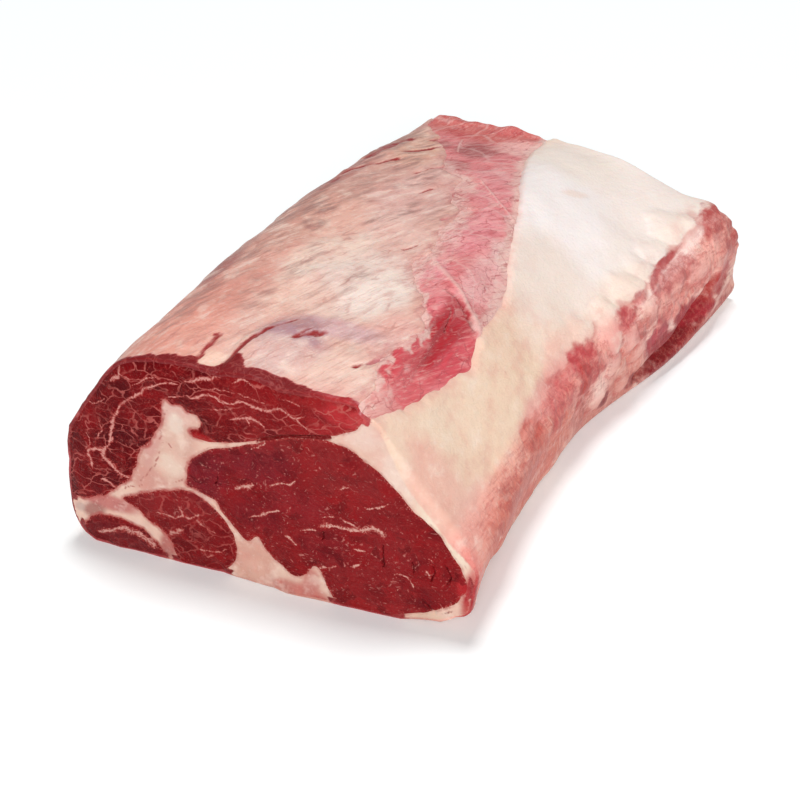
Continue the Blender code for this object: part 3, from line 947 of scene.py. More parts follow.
# On the front cut face, (x, z, half width, half height, turn, colour, share).
CUT_FAT_PATCHES = [
    (-64, 72, 17, 38, -14, "cf9f90", 1.0),
    (-60, 68, 7, 24, -14, "d9b09f", 0.9),
    (-56, 92, 10, 8, 0, "d9aca0", 0.9),
    (-70, 68, 4, 13, -22, "cf978c", 0.8),
    # these two pale spots are painted highlights on the fat kernel
    (-56, 85, 4, 6, 0, "e8d6c6", 0.6),
    (-60, 60, 8, 6, 0, "e6cdbb", 0.65),
    (-73, 47, 13, 7, -20, "cc9083", 0.8),
    (-42, 47, 8, 5, 20, "dcb0a3", 0.8),
    (-96, 27, 16, 4.5, 0, "bb6c66", 0.95),
    (-106, 20, 7, 4, 20, "94504a", 0.8),
    # a painted glint on the fat low on the left
    (-114, 20, 3, 3, 0, "b79c94", 0.7),
    (-65, 9, 4.5, 9, 0, "b05f58", 0.9),
    (-18, 13, 12, 17, 0, "d49f8e", 1.0),
    (-18, 9, 6, 6, 0, "dcae9c", 0.7),
    (5, 3, 17, 5, 0, "c5756a", 1.0),
    (13, 10, 4.5, 8, 0, "c67a70", 0.9),
    (19, -1, 7, 3.5, 0, "a82c2c", 1.0),
    (40, 104, 12, 8, 0, "e6c4b6", 0.9),
    (58, 86, 7, 14, 42, "e9cabb", 0.9),
    (82, 58, 7, 22, 38, "eed6c0", 0.9),
    (97, 30, 4, 16, 0, "d0796f", 0.9),
    (78, 5, 18, 4, -14, "dfc2aa", 0.9),
    (96, 22, 6, 15, 0, "b0302f", 1.0),
]
# Fine folds in the cut fat, with no relief, drawn as darker pinkish lines that are partly their own
# tissue and partly painted shade: width and the line through (x, z).
CUT_FAT_FOLDS = [
    (0.7, [(-61, 92), (-64, 82), (-66, 72)]),
    (0.6, [(-66, 66), (-70, 56), (-78, 46)]),
    (0.7, [(-52, 55), (-56, 51), (-60, 50)]),
    (0.6, [(-67, 70), (-62, 72), (-60, 69)]),
    (0.5, [(-88, 38), (-82, 41), (-74, 44)]),
    (0.6, [(-107, 25), (-98, 28), (-88, 28)]),
]
# Darker and brighter areas of the lean there.
CUT_LEAN_PATCHES = [
    (2, 106, 42, 16, -4, "8c1a1d", 0.7),
    (-42, 58, 12, 16, 0, "761a26", 0.75),
    (-12, 74, 20, 12, 10, "741c28", 0.55),
    (8, 56, 16, 10, 0, "8c2028", 0.5),
    (22, 34, 14, 12, 0, "761820", 0.5),
    (54, 44, 14, 14, 0, "8e2226", 0.5),
    (-14, 44, 14, 10, 0, "701620", 0.5),
    (-6, 88, 22, 7, 20, "8c2a2c", 0.5),
    (30, 80, 30, 16, -20, "8b2729", 0.5),
    (40, 14, 28, 14, 0, "8a2427", 0.5),
    (92, 26, 3.5, 14, 0, "b0262b", 0.9),
    (60, 5, 26, 4, 0, "a02a2c", 0.6),
    (74, 16, 4, 8, 20, "701118", 0.8),
    (-108, 50, 9, 24, 0, "6a0208", 0.6),
    (-106, 82, 8, 12, 20, "860c12", 0.7),
    (-72, 88, 9, 16, -30, "6d0a10", 0.7),
    (-104, 32, 7, 10, 0, "6f0b11", 0.6),
    (-66, 112, 20, 6, 14, "7c0c10", 0.5),
    (-20, 122, 16, 6, 0, "841217", 0.6),
    (-42, 81, 6, 3, 0, "ac1a1e", 1.0),
    (-14, 94, 26, 6, 22, "7e0e12", 0.5),
    (26, 106, 10, 10, -12, "a3262a", 0.7),
    (30, 113, 12, 6, -20, "c03438", 0.7),
    (40, 112, 5, 5, 0, "cf4c4e", 0.8),
    (16, 118, 8, 5, 0, "9a2426", 0.7),
    (-86, 9, 20, 5, 0, "6b2024", 0.8),
    (-86, 17, 16, 2.5, 0, "7c1519", 0.9),
    (-60, 36, 20, 8, 0, "8d2a2c", 0.5),
]
# Veins of fat in the muscles, same layout as the folds.
CAP_VEINS = [
    (2.1, [(-83, 45), (-88, 49), (-92, 52), (-95, 56), (-96, 60), (-94, 63.5)]),
    (1.6, [(-94, 63.5), (-91.5, 68), (-90, 75), (-88.5, 83), (-86, 87), (-82, 92.5)]),
    (1.4, [(-82, 92.5), (-76, 97), (-70, 103), (-60, 108), (-53, 110)]),
    (1.4, [(-49, 112), (-43, 114), (-36, 116), (-31, 118)]),
    (1.4, [(-96, 61), (-101, 60), (-105, 57), (-104, 52), (-104, 48)]),
    (1.4, [(-92, 100.7), (-87, 103.6), (-84, 107), (-83.6, 112)]),
    (0.6, [(-84, 107), (-79, 107)]),
    (0.6, [(-107, 86), (-101, 86), (-96, 88.5), (-93, 91.5)]),
    (1.4, [(-99, 42), (-94.5, 41), (-93, 38)]),
    (1.7, [(-97, 33), (-91, 35), (-87, 39), (-84, 43)]),
    (1.4, [(-50, 103.6), (-42, 105), (-36, 108), (-30, 106), (-25, 106), (-20, 108),
           (-12, 107), (-5, 107), (1, 109), (7, 106), (12, 108)]),
    (0.7, [(7, 106), (11, 103), (15, 100)]),
    (1.4, [(-26, 96), (-22, 98), (-17, 99), (-12, 99), (-9, 97)]),
    (0.7, [(-17, 99), (-16, 95)]),
    (0.7, [(-25, 116), (-19, 119), (-12, 117)]),
    (0.6, [(-24, 113), (-17, 112), (-8, 111)]),
    (0.6, [(0, 114), (10, 113)]),
    (0.6, [(-60, 100), (-50, 103)]),
    (0.6, [(-105, 70), (-103, 64), (-106, 58)]),
    (0.6, [(-98, 80), (-96, 74), (-98, 68)]),
    (0.6, [(-78, 102), (-70, 109), (-62, 112)]),
    (0.6, [(-36, 100), (-30, 101), (-24, 103)]),
    (0.6, [(-40, 110), (-30, 112), (-22, 112)]),
]
EYE_VEINS = [
    (1.9, [(-26, 56), (-21, 57.5), (-17, 60.5)]),
    (1.0, [(-8, 61.5), (-2, 65), (4, 67), (7, 70)]),
    (1.0, [(-19, 40.5), (-12, 44), (-6, 48), (-2, 49)]),
    (1.6, [(18, 46), (24, 48), (32, 48)]),
    (2.5, [(32, 48), (38, 49), (44, 51.5), (50, 52), (52, 50)]),
    (1.0, [(41, 64), (46, 64), (51, 67), (54, 70)]),
    (1.4, [(0, 35.5), (3.5, 33.6), (6, 32)]),
    (1.0, [(8, 41), (13, 43), (16, 43)]),
    (1.2, [(36, 37), (41, 38)]),
    (1.2, [(35, 26), (39, 28)]),
    (1.0, [(57, 28), (62, 29), (66, 26), (67, 23)]),
    (1.0, [(18, 20), (22, 22), (27, 23.5)]),
    (1.0, [(73, 36), (75, 33)]),
    (0.8, [(74, 43), (76, 42)]),
    (1.1, [(31, 54), (33, 52), (37, 51)]),
    (0.8, [(29, 70), (34, 73.5)]),
    (0.8, [(-16, 81), (-12, 84), (-9, 86)]),
    (0.7, [(57, 18), (60, 21)]),
    (0.7, [(21, 52), (26, 54)]),
]
INNER_VEINS = [
    (0.9, [(-60, 29), (-54.5, 32), (-50, 31), (-46, 35)]),
    (0.9, [(-57, 37), (-54, 32)]),
    (1.0, [(-70, 30), (-63, 30), (-59, 29)]),
    (0.8, [(-47, 31), (-45, 28), (-38, 26)]),
    (2.2, [(-63.6, 17), (-60, 19.5), (-56, 22)]),
    (0.9, [(-49, 12), (-43, 13), (-36, 14), (-32, 17)]),
    (0.8, [(-45, 13), (-43, 9), (-40, 11)]),
]
RIB_SIDE_VEINS = [
    (2.8, [(-104, 7), (-98.5, 10), (-92, 13), (-85, 13.6), (-77, 10.7), (-73, 6.4)]),
]
# Cracks between bundles of the eye muscle, sunk in the relief and darkened with painted shade.
CRACKS = [
    (0.7, [(51, 30), (51, 38), (50.7, 44)]),
    (0.6, [(66.4, 32), (65.7, 38)]),
    (0.7, [(75, 27), (77, 33), (76, 39)]),
    (0.8, [(83, 30), (85, 35), (82, 41)]),
    (1.2, [(71, 18), (74, 13), (77, 10)]),
    (0.5, [(20, 37), (20.7, 43.6)]),
    (0.5, [(-36, 55), (-35, 60)]),
]
# The parting between the cap and the eye muscle: a groove in the relief, drawn as a dark line that
# is partly the seam's own dark red and partly painted shade.
PARTING = [(-14, 86.5), (-5, 90.3), (6, 93.8), (16, 96.2), (24, 98.2)]


def strokes(places, lines, wander=1.1):
    """1 in the middle of uneven tapering lines and 0 their width away from it."""
    solid = in_space(places)
    shifts = [soft_noise(solid, 4.0, seed, 2) for seed in (61, 62)]
    places = places + wander * np.column_stack(shifts)
    thickness = 1.0 + 0.75 * soft_noise(solid, 4.0, 63, 2)
    value = np.zeros(len(places))
    for width, line in lines:
        line = curve(line, fine=4)
        run = np.linspace(0, 1, len(line))
        for a, b, f in zip(line[:-1], line[1:], run):
            taper = width * min(1.0, 0.35 + 3 * f, 0.35 + 3 * (1 - f))
            value = np.maximum(value, 1 - reach(places, [a, b]) / (taper * thickness))
    return value


def face_relief(places, borders):
    """How far a point of the front cut face stands out, in mm."""
    points = in_space(places)
    relief = 0.7 * soft_noise(points, 26.0, 31) + 0.22 * soft_noise(points, 4.5, 33, 2)
    for border in borders:
        gap = reach(places, border, closed=True)
        relief += 1.1 * smooth(0, 9, gap) * inside(places, border)
    relief -= 1.4 * np.exp(-(reach(places, curve(PARTING)) / 0.9) ** 2)
    x, z = places.T
    frayed = 1.8 * soft_noise(points, 7.0, 37, 3)
    relief += (2.6 * np.exp(-((x - 6) / 20) ** 2) + frayed) * smooth(16, 3, z)
    return relief - 1.2 * np.clip(strokes(places, CRACKS), 0, 1)


# ---- materials

def add(tree, kind, out=0, inputs=(), **settings):
    """Adds a shader node with its settings and links, and gives one of its outputs."""
    node = tree.nodes.new("ShaderNode" + kind)
    for key, value in settings.items():
        setattr(node, key, value)
    for key, value in dict(inputs).items():
        if isinstance(value, bpy.types.NodeSocket):
            tree.links.new(value, node.inputs[key])
        else:
            node.inputs[key].default_value = value
    return node.outputs[out]


def colour_of(code):
    """A colour for a node's or shader's socket."""
    return (*linear(code), 1.0)


def new_material(name, ior, specular):
    """A material with its node tree and the place on the roast in mm."""
    material = bpy.data.materials.new(name)
    material.use_nodes = True
    tree = material.node_tree
    shader = tree.nodes["Principled BSDF"]
    shader.inputs["IOR"].default_value = ior
    shader.inputs["Specular IOR Level"].default_value = specular
    place = add(tree, "VectorMath", 0, {0: add(tree, "TexCoord", "Object"),
                1: (1 / MM, 1 / MM, 1 / MM)}, operation="MULTIPLY")
    return material, tree, place


def streaks(tree, place, size, stretch, turn=(0, 0, 0), detail=3.0, rough=0.55, warp=0.0):
    """Noise from 0 to 1 with features size mm wide, drawn out along turned axes."""
    turned = add(tree, "Mapping", 0, {"Vector": place, "Scale": stretch,
                 "Rotation": [math.radians(a) for a in turn]}, vector_type="TEXTURE")
    return add(tree, "TexNoise", "Fac", {"Vector": turned, "Scale": 1 / size, "Detail": detail,
               "Roughness": rough, "Distortion": warp})


def swayed(tree, place, size, amount):
    """The place moved about softly by up to half the amount in mm."""
    sway = add(tree, "TexNoise", "Color", {"Vector": place, "Scale": 1 / size, "Detail": 2.0})
    return add(tree, "VectorMath", 0, {0: sway, 1: (amount, amount, amount), 2: place},
               operation="MULTIPLY_ADD")


def lean_net(tree, place, size, half_width):
    """1 on the thin walls of fat between bundles of muscle, and a random value per bundle."""
    gap = add(tree, "TexVoronoi", "Distance", {"Vector": place, "Scale": 1 / size},
              feature="DISTANCE_TO_EDGE")
    wall = add(tree, "MapRange", 0, {"Value": gap, "From Min": half_width / size,
               "From Max": 0.25 * half_width / size}, interpolation_type="SMOOTHSTEP")
    shade = add(tree, "TexVoronoi", "Color", {"Vector": place, "Scale": 1 / size})
    return wall, shade


def creases(tree, place, size, stretch, turn, half_width, sway=4.0):
    """1 on thin wandering lines about size mm apart, drawn out along turned axes."""
    turned = add(tree, "Mapping", 0, {"Vector": swayed(tree, place, size, sway),
                 "Scale": stretch, "Rotation": [math.radians(a) for a in turn]},
                 vector_type="TEXTURE")
    gap = add(tree, "TexVoronoi", "Distance", {"Vector": turned, "Scale": 1 / size},
              feature="DISTANCE_TO_EDGE")
    return add(tree, "MapRange", 0, {"Value": gap, "From Min": half_width / size,
               "From Max": 0.0}, interpolation_type="SMOOTHSTEP")


def stain(tree, colour, pattern, low, high, share, code, within=None):
    """Colour with another laid over it where the pattern goes from low to high."""
    cover = add(tree, "MapRange", 0, {"Value": pattern, "From Min": low, "From Max": high,
                "To Max": share}, interpolation_type="SMOOTHSTEP")
    if within is not None:
        cover = add(tree, "Math", 0, {0: cover, 1: within}, operation="MULTIPLY")
    over = code if isinstance(code, bpy.types.NodeSocket) else colour_of(code)
    return add(tree, "Mix", 2, {0: cover, 6: colour, 7: over}, data_type="RGBA")


def roughened(tree, value, pattern, amount):
    """A value from the mesh with its edges broken up by a pattern."""
    centred = add(tree, "Math", 0, {0: pattern, 1: amount, 2: -amount / 2},
                  operation="MULTIPLY_ADD")
    return add(tree, "Math", 0, {0: value, 1: centred}, operation="ADD")


def finish(tree, colour, roughness, height, depth):
    """Sets colour and roughness, and a bump from a height of 0 to 1 and its depth in mm."""
    shader = tree.nodes["Principled BSDF"]
    tree.links.new(colour, shader.inputs["Base Color"])
    shader.inputs["Roughness"].default_value = roughness
    bump = add(tree, "Bump", 0, {"Height": height, "Distance": depth * MM, "Strength": 1.0})
    tree.links.new(bump, shader.inputs["Normal"])


def stained(tree, colour, layers):
    """Colour with several stains over it, each with the same details as in stain()."""
    for layer in layers:
        colour = stain(tree, colour, *layer)
    return colour


def lean_under_fat(tree, place, patchy, hanging, upright, side):
    """Colour of the lean that shows through the fat, in bundles 5 mm wide with thin walls."""
    wavy = swayed(tree, swayed(tree, place, 9.0, 12.0), 3.0, 2.2)
    wall, shade = lean_net(tree, wavy, 5.0, 0.35)
    colour = add(tree, "Attribute", "Color", attribute_name="lean_tint")
    return stained(tree, colour, (
        (hanging, 0.50, 0.68, 0.40, "e08274", side),
        (patchy, 0.44, 0.60, 0.22, "8a0a10"),
        (upright, 0.0, 1.0, 0.24, "982024", side),
        (shade, 0.50, 1.0, 0.18, "6a0208"),
        (wall, 0.0, 1.0, 0.26, "bf625a"),
    ))


def fat_material():
    """Raw beef fat trimmed with a knife, with silverskin drawn tight over its left half.

    The fat is waxy cream with a fine grain and pink clouds.  The silverskin is a thin skin,
    streaked, threaded and creased the way it was pulled.  Both have the soft gloss of
    grease and let ragged red lean show through.
    """
    material, tree, place = new_material("beef_fat_and_silverskin", 1.45, 0.35)
    shader = tree.nodes["Principled BSDF"]
    shader.inputs["Subsurface Weight"].default_value = 0.10
    shader.inputs["Subsurface Radius"].default_value = (1.0, 0.35, 0.2)
    shader.inputs["Subsurface Scale"].default_value = 3 * MM
    cloud = streaks(tree, place, 10.0, (1, 1.4, 1))                      # clouds 1 cm wide
    grain = streaks(tree, place, 2.2, (1, 1, 1))                         # grains of 2 mm
    patchy = streaks(tree, place, 5.0, (1, 1.6, 1), (0, 0, 0), 5, 0.68)  # torn edges of lean
    # on the silverskin: bands 5 mm wide, threads of 1.3 mm, and creases 7 mm apart
    drawn = streaks(tree, place, 5.0, (1, 5, 1), (0, 0, -23), 6, 0.66)
    threads = streaks(tree, place, 1.3, (1, 9, 1), (0, 0, -23))
    lines = creases(tree, place, 7.0, (1, 6, 1), (0, 0, -25), 0.45)
    # at the right side: strands of 2 mm down and along it, and creases 5 mm apart
    hanging = streaks(tree, place, 2.0, (1, 1, 4.5), (0, 0, 0), 4, 0.6)
    along = streaks(tree, place, 1.8, (1, 6, 1), (-8, 0, 0), 4, 0.6)
    upright = creases(tree, place, 5.0, (1, 1, 5), (0, 0, 0), 0.45)
    mottle, grime, side, film, lean = [
        add(tree, "Attribute", "Fac", attribute_name=name)
        for name in ("mottle", "grime", "side", "film", "lean")]
    patches = add(tree, "MapRange", 0, {"Value": cloud, "From Min": 0.45, "From Max": 0.66})
    worn = add(tree, "Math", 0, {0: patches, 1: film}, operation="MULTIPLY")
    lean_shows = add(tree, "MapRange", 0, {"Value": lean, "From Min": 0.04, "From Max": 0.3},
                     interpolation_type="SMOOTHSTEP")
    lean_edge = roughened(tree, lean, patchy, 1.3)
    lean_tint = lean_under_fat(tree, place, patchy, hanging, upright, side)
    colour = add(tree, "Attribute", "Color", attribute_name="tint")
    colour = stained(tree, colour, (
        (cloud, 0.46, 0.74, 0.30, "d98c7e", mottle),
        (cloud, 0.47, 0.26, 0.40, "f9e4d4", mottle),
        (grain, 0.54, 0.76, 0.18, "fbece2"),
        (drawn, 0.52, 0.66, 0.38, "bf8278", film),
        (drawn, 0.46, 0.34, 0.45, "f4dccf", film),
        (threads, 0.58, 0.72, 0.30, "f8e8de", film),
        (threads, 0.44, 0.30, 0.30, "b87f76", film),
        (drawn, 0.42, 0.60, 0.80, "97706a", grime),
        (threads, 0.50, 0.66, 0.30, "dcb6aa", grime),
        (lines, 0.0, 1.0, 0.45, "b0706a", worn),
        (along, 0.48, 0.64, 0.50, "bf4c4a", side),
        (hanging, 0.52, 0.70, 0.65, "f0b8a6", side),
        (upright, 0.0, 1.0, 0.16, "a8443f", side),
        (lean_edge, 0.05, 0.95, 1.0, lean_tint, lean_shows),
    ))
    height = add(tree, "Math", 0, {0: grain, 1: 0.4, 2: drawn}, operation="MULTIPLY_ADD")
    height = add(tree, "Math", 0, {0: hanging, 1: side, 2: height}, operation="MULTIPLY_ADD")
    finish(tree, colour, 0.44, height, 0.8)
    return material


def lean_material(name, bundle, walls, specks, pale):
    """Beef cut across the grain with a sharp knife: moist deep red bundles of muscle.

    bundle is the bundles' width in mm, walls and specks say how strongly the thin walls of
    fat between them and the specks of fat show, and pale is the colour of the veins.
    """
    material, tree, place = new_material(name, 1.38, 0.08)
    place = swayed(tree, swayed(tree, place, 11.0, 9.0), 3.0, 2.2)
    flat = add(tree, "VectorMath", 0, {0: place, 1: (0.6, 1, 1)}, operation="MULTIPLY")
    # fibres are under 0.1 mm wide, too fine to show, so their grain is drawn 0.9 mm wide
    grain = streaks(tree, place, 0.9, (1, 1, 1))
    cloud = streaks(tree, place, 13.0, (1, 1, 1))                    # bright and dark areas
    spread = streaks(tree, place, 11.0, (1, 1, 1), detail=2.0)       # where walls show
    flecks = streaks(tree, place, 1.5, (1.8, 1, 1), (0, -12, 0), warp=0.6)
    wall, shade = lean_net(tree, flat, bundle, 0.40)
    fine_wall, fine_shade = lean_net(tree, flat, bundle * 0.42, 0.22)
    # round specks of fat about 1 mm wide in a third of the cells of a 1.9 mm grid
    dots = add(tree, "TexVoronoi", "Distance", {"Vector": place, "Scale": 1 / 1.9})
    chosen = add(tree, "TexVoronoi", "Color", {"Vector": place, "Scale": 1 / 1.9})
    chosen = add(tree, "MapRange", 0, {"Value": chosen, "From Min": 0.62, "From Max": 0.68})
    small = roughened(tree, flecks, spread, 0.3)
    vein, crack = [add(tree, "Attribute", "Fac", attribute_name=name)
                   for name in ("vein", "crack")]
    vein = roughened(tree, vein, streaks(tree, place, 1.1, (1, 1, 1)), 2.1)
    colour = add(tree, "Attribute", "Color", attribute_name="tint")
    colour = stained(tree, colour, (
        (cloud, 0.48, 0.70, 0.35, "9c0e14"),
        (cloud, 0.46, 0.30, 0.45, "4a000c"),
        (shade, 0.55, 1.0, 0.45, "450006"),
        (shade, 0.40, 0.0, 0.25, "9c1016"),
        (fine_shade, 0.55, 1.0, 0.22, "480006"),
        (grain, 0.56, 0.80, 0.12, "a82c2a"),
        (spread, 0.40, 0.60, 0.55 * walls, "9c2c2a", fine_wall),
        (spread, 0.62, 0.38, 0.9 * walls, "c2645d", wall),
        (dots, 0.30, 0.05, 0.8 * specks, "bf726a", chosen),
        (small, 0.61, 0.75, 0.8 * specks, "c67c73"),
        (vein, 0.15, 0.55, 0.75, "a83c38"),
        (vein, 0.45, 1.0, 1.0, pale),
        # painted shade in the cracks and along the parting
        (crack, 0.25, 0.9, 0.75, "4a060a"),
    ))
    height = add(tree, "Math", 0, {0: grain, 1: flecks}, operation="ADD")
    finish(tree, colour, 0.30, height, 0.5)
    return material


def bare_material():
    """Muscle pulled bare of its fat: wet pink to red strands under a thin clear skin.

    The strands run along the roast, with pale films, sinews and fine cracks over them.
    """
    material, tree, place = new_material("beef_lean_under_silverskin", 1.40, 0.40)
    shader = tree.nodes["Principled BSDF"]
    shader.inputs["Subsurface Weight"].default_value = 0.05
    shader.inputs["Subsurface Scale"].default_value = 3 * MM
    strand_turn = (-17, 0, -13)
    fibres = streaks(tree, place, 1.1, (1, 12, 1), strand_turn)       # coarser than real ones
    strands = streaks(tree, place, 3.4, (1, 9, 1), strand_turn, 4, 0.6)
    cloud = streaks(tree, place, 8.0, (1, 1.6, 1), strand_turn, 4, 0.6)
    wavy = swayed(tree, swayed(tree, place, 9.0, 14.0), 2.5, 3.0)
    crack, shade = lean_net(tree, wavy, 8.0, 0.4)                     # cracks 8 mm apart
    crossing = creases(tree, place, 8.0, (1, 4.0, 1), (0, 0, -40), 0.42, 9.0)
    films = creases(tree, place, 15.0, (1, 3.0, 1), (0, 0, -34), 0.8)
    torn = add(tree, "MapRange", 0, {"Value": cloud, "From Min": 0.40, "From Max": 0.56})
    calm, sinew = [add(tree, "Attribute", "Fac", attribute_name=name)
                   for name in ("calm", "sinew")]
    sinew = roughened(tree, sinew, cloud, 0.7)
    colour = add(tree, "Attribute", "Color", attribute_name="tint")
    colour = stained(tree, colour, (
        (strands, 0.50, 0.66, 0.35, "c0383e"),
        (strands, 0.48, 0.34, 0.35, "eba8a2"),
        (fibres, 0.54, 0.70, 0.40, "eebbb2"),
        (fibres, 0.47, 0.36, 0.25, "b83c42"),
        (cloud, 0.56, 0.74, 0.45, "efc6bf"),
        (shade, 0.55, 1.0, 0.30, "c25058", calm),
        (crack, 0.0, 1.0, 0.14, "a8404a", calm),
        (crossing, 0.0, 1.0, 0.50, "a8323c", torn),
        (films, 0.0, 1.0, 0.30, "f0ccc4", calm),
        (sinew, 0.30, 1.0, 0.65, "eebfb6"),
    ))
    height = add(tree, "Math", 0, {0: strands, 1: fibres}, operation="ADD")
    finish(tree, colour, 0.40, height, 0.8)
    return material


# ---- the pieces of the roast

rings, outs, rises, depths = wrap()
skin_places = rings.reshape(-1, 3)
skin_middle = (skin_places.min(axis=0) + skin_places.max(axis=0)) / 2
to_model = np.array((cad_low + cad_high) / 2) / MM - skin_middle
to_model[2] = 0.0
skin = looks(skin_places, rises.ravel(), np.repeat(depths, rings.shape[1]))
rings = rings + outs * skin["fat_relief"].reshape(*rings.shape[:2], 1)
front_outline = rings[0][:, [0, 2]]

tip_at_back = STRIP_RIGHT[-1][1] - 3.0
cap_front = cap_outline(rings[0], rises[0], 0.0, CAP_TIP, np.array(CAP_INNER_EDGE))
cap_back = cap_outline(rings[-1], rises[-1], 1.0, tip_at_back, cap_inner_at_back(tip_at_back),
                       len(cap_front))
# name: (outline on the front face, on the back face, veins, colour)
MUSCLES = {
    "cap_muscle": (cap_front, cap_back, CAP_VEINS, "5a0006"),
    "eye_muscle": (*both_ends(EYE_EDGE), EYE_VEINS, "82171b"),
    "inner_muscle": (*both_ends(INNER_EDGE), INNER_VEINS, "781418"),
    "rib_side_muscle": (*both_ends(RIB_SIDE_EDGE), RIB_SIDE_VEINS, "70191e"),
}
BORDERS = [front for front, _, _, _ in MUSCLES.values()]


def front_face(places):
    """Points of the front cut face, with its relief."""
    return np.column_stack((places[:, 0], front_y(places[:, 0]) - face_relief(places, BORDERS),
                            places[:, 1]))


def back_face(places):
    """Points of the back cut face, with its relief."""
    points = in_space(places) + (0, LENGTH / 2, 0)
    points[:, 1] += 0.7 * soft_noise(points, 26.0, 41) + 0.3 * soft_noise(points, 6.0, 43, 2)
    return points


def hidden_ring(front, back, depth, amount):
    """A muscle's or channel's ring inside the roast."""
    t = depth / LENGTH
    shape = mix(front, carried(back, 1.0, back=True), t)
    return uneven(placed(slimmed(carried(shape, t), amount), depth))


def tunnel(front, back, inset_by):
    """The rings between the two cut faces, where nothing shows."""
    pairs = list(zip(HIDDEN_DEPTHS, HIDDEN_SLIMNESS))[1:-1]
    return [hidden_ring(front, back, depth, slim * inset_by) for depth, slim in pairs]


def film_over_lean(places, borders, outline):
    """1 where only a thin film lies between a muscle and the outside."""
    near = np.min([reach(places, border, closed=True) for border in borders], axis=0)
    film = smooth(3.8, 2.2, near) * smooth(3.8, 2.2, reach(places, outline, closed=True))
    x, z = places.T
    flap = smooth(58, 64, x) * smooth(12, 9, z)
    return 2 * film * (1 - flap) * np.where(x > 50, smooth(46, 38, z), 1)


def lean_colour(places, base):
    """Colour of lean on the front cut face, with its darker and brighter areas."""
    wander = 0.2 * soft_noise(in_space(places), 9.0, 51, 3)
    return paint(np.tile(linear(base), (len(places), 1)), places, CUT_LEAN_PATCHES, wander)


def fat_skin():
    """Points of the skin, its rims on the uneven cut faces: places, tint, lean, lean's tint."""
    spots = rings.reshape(-1, 3).copy()
    lean = skin["lean"].copy()
    along = np.repeat(depths, rings.shape[1])
    near_front = 1 - smooth(0, RIM_REACH, along)
    near_back = 1 - smooth(0, RIM_REACH, LENGTH - along)
    flat = spots[:, [0, 2]]
    rim = near_front > 0
    spots[rim, 1] -= near_front[rim] * face_relief(flat[rim], BORDERS)
    spots[:, 1] += near_back * (back_face(flat)[:, 1] - LENGTH / 2)
    bare_rim = film_over_lean(flat[rim], BORDERS, front_outline)
    lean[rim] = np.maximum(lean[rim], bare_rim * smooth(0.7, 0.95, near_front[rim]))
    return spots, skin["tint"], lean, skin["lean_tint"]


def cut_fat(spots, borders, outline, back):
    """Fat on a cut face, in the same layout; its details show on the front one only."""
    front = 0.0 if back else 1.0
    wander = 0.2 * soft_noise(in_space(spots), 8.0, 53, 3)
    tint = np.tile(linear(CUT_FAT_COLOUR), (len(spots), 1))
    if not back:
        tint = paint(tint, spots, CUT_FAT_PATCHES, wander)
    near = np.min([reach(spots, border, closed=True) for border in borders], axis=0)
    blush = mix(0.42, 0.75, smooth(-35, -55, spots[:, 0])) * smooth(2.6, 0.0, near)
    # the parting drawn as a dark red line: partly the seam's lean, partly painted shade in its
    # groove
    parting = front * np.clip(strokes(spots, [(3.0, PARTING)], 0.0), 0, 1)
    lean = np.max([film_over_lean(spots, borders, outline), blush, 2 * parting], axis=0)
    lean_tint = lean_colour(spots, LEAN_IN_FAT)
    at_border = smooth(0.0, 0.1, blush - lean + 0.1)
    lean_tint = mix(lean_tint, linear("b4524c"), at_border[:, None])
    lean_tint = mix(lean_tint, linear("7a1418"), smooth(0.1, 0.5, parting)[:, None])
    # the folds as darker lines: partly their tissue, partly painted shade
    folds = front * 0.8 * np.clip(strokes(spots, CUT_FAT_FOLDS), 0, 1)
    lean = np.maximum(lean, folds)
    lean_tint = mix(lean_tint, linear("b26e64"), smooth(0.1, 0.3, folds)[:, None])
    places = back_face(spots) if back else front_face(spots)
    return places, tint, lean, lean_tint


def channel(walls):
    """Walls of a channel through the fat, in the same layout."""
    spots = np.vstack(walls)
    tint = np.tile(linear(CUT_FAT_COLOUR), (len(spots), 1))
    return spots, tint, np.zeros(len(spots)), np.tile(linear(LEAN_IN_FAT), (len(spots), 1))


def make_fat():
    """The body of fat: its skin, its two cut faces and a channel for each muscle."""
    parts = [fat_skin()]
    total = len(parts[0][0])
    numbers = np.arange(total).reshape(rings.shape[:2])
    faces = tube_faces(numbers)
    mouths = []
    for back, step in ((False, FAT_STEP), (True, BACK_STEP)):
        end = -1 if back else 0
        borders = [muscle[int(back)] for muscle in MUSCLES.values()]
        outline = rings[end][:, [0, 2]]
        spots, triangles, loops = disc(outline, borders, step)
        fresh = spots[len(outline):]
        known = np.concatenate((numbers[end], np.arange(total, total + len(fresh))))
        faces += [tuple(t[::-1] if back else t) for t in known[triangles].tolist()]
        mouths.append([known[loop] for loop in loops[1:]])
        parts.append(cut_fat(fresh, borders, outline, back))
        total += len(fresh)
    for (front, back, _, _), first, last in zip(MUSCLES.values(), *mouths):
        walls = tunnel(front, back, CHANNEL_INSET)
        inner = np.arange(total, total + len(walls) * len(front)).reshape(len(walls), -1)
        faces += tube_faces([first, *inner, last], flip=True)
        parts.append(channel(walls))
        total += inner.size
    points, *layers = [np.concatenate(values) for values in zip(*parts)]
    values = dict(zip(("tint", "lean", "lean_tint"), layers))
    for key, elsewhere in (("grime", 0.0), ("mottle", 1.0), ("side", 0.0), ("film", 0.0)):
        rest = np.full(total - len(skin[key]), elsewhere)
        values[key] = np.concatenate((skin[key], rest))
    new_piece("fat_body", points, faces, values, fat_material(), "fat")


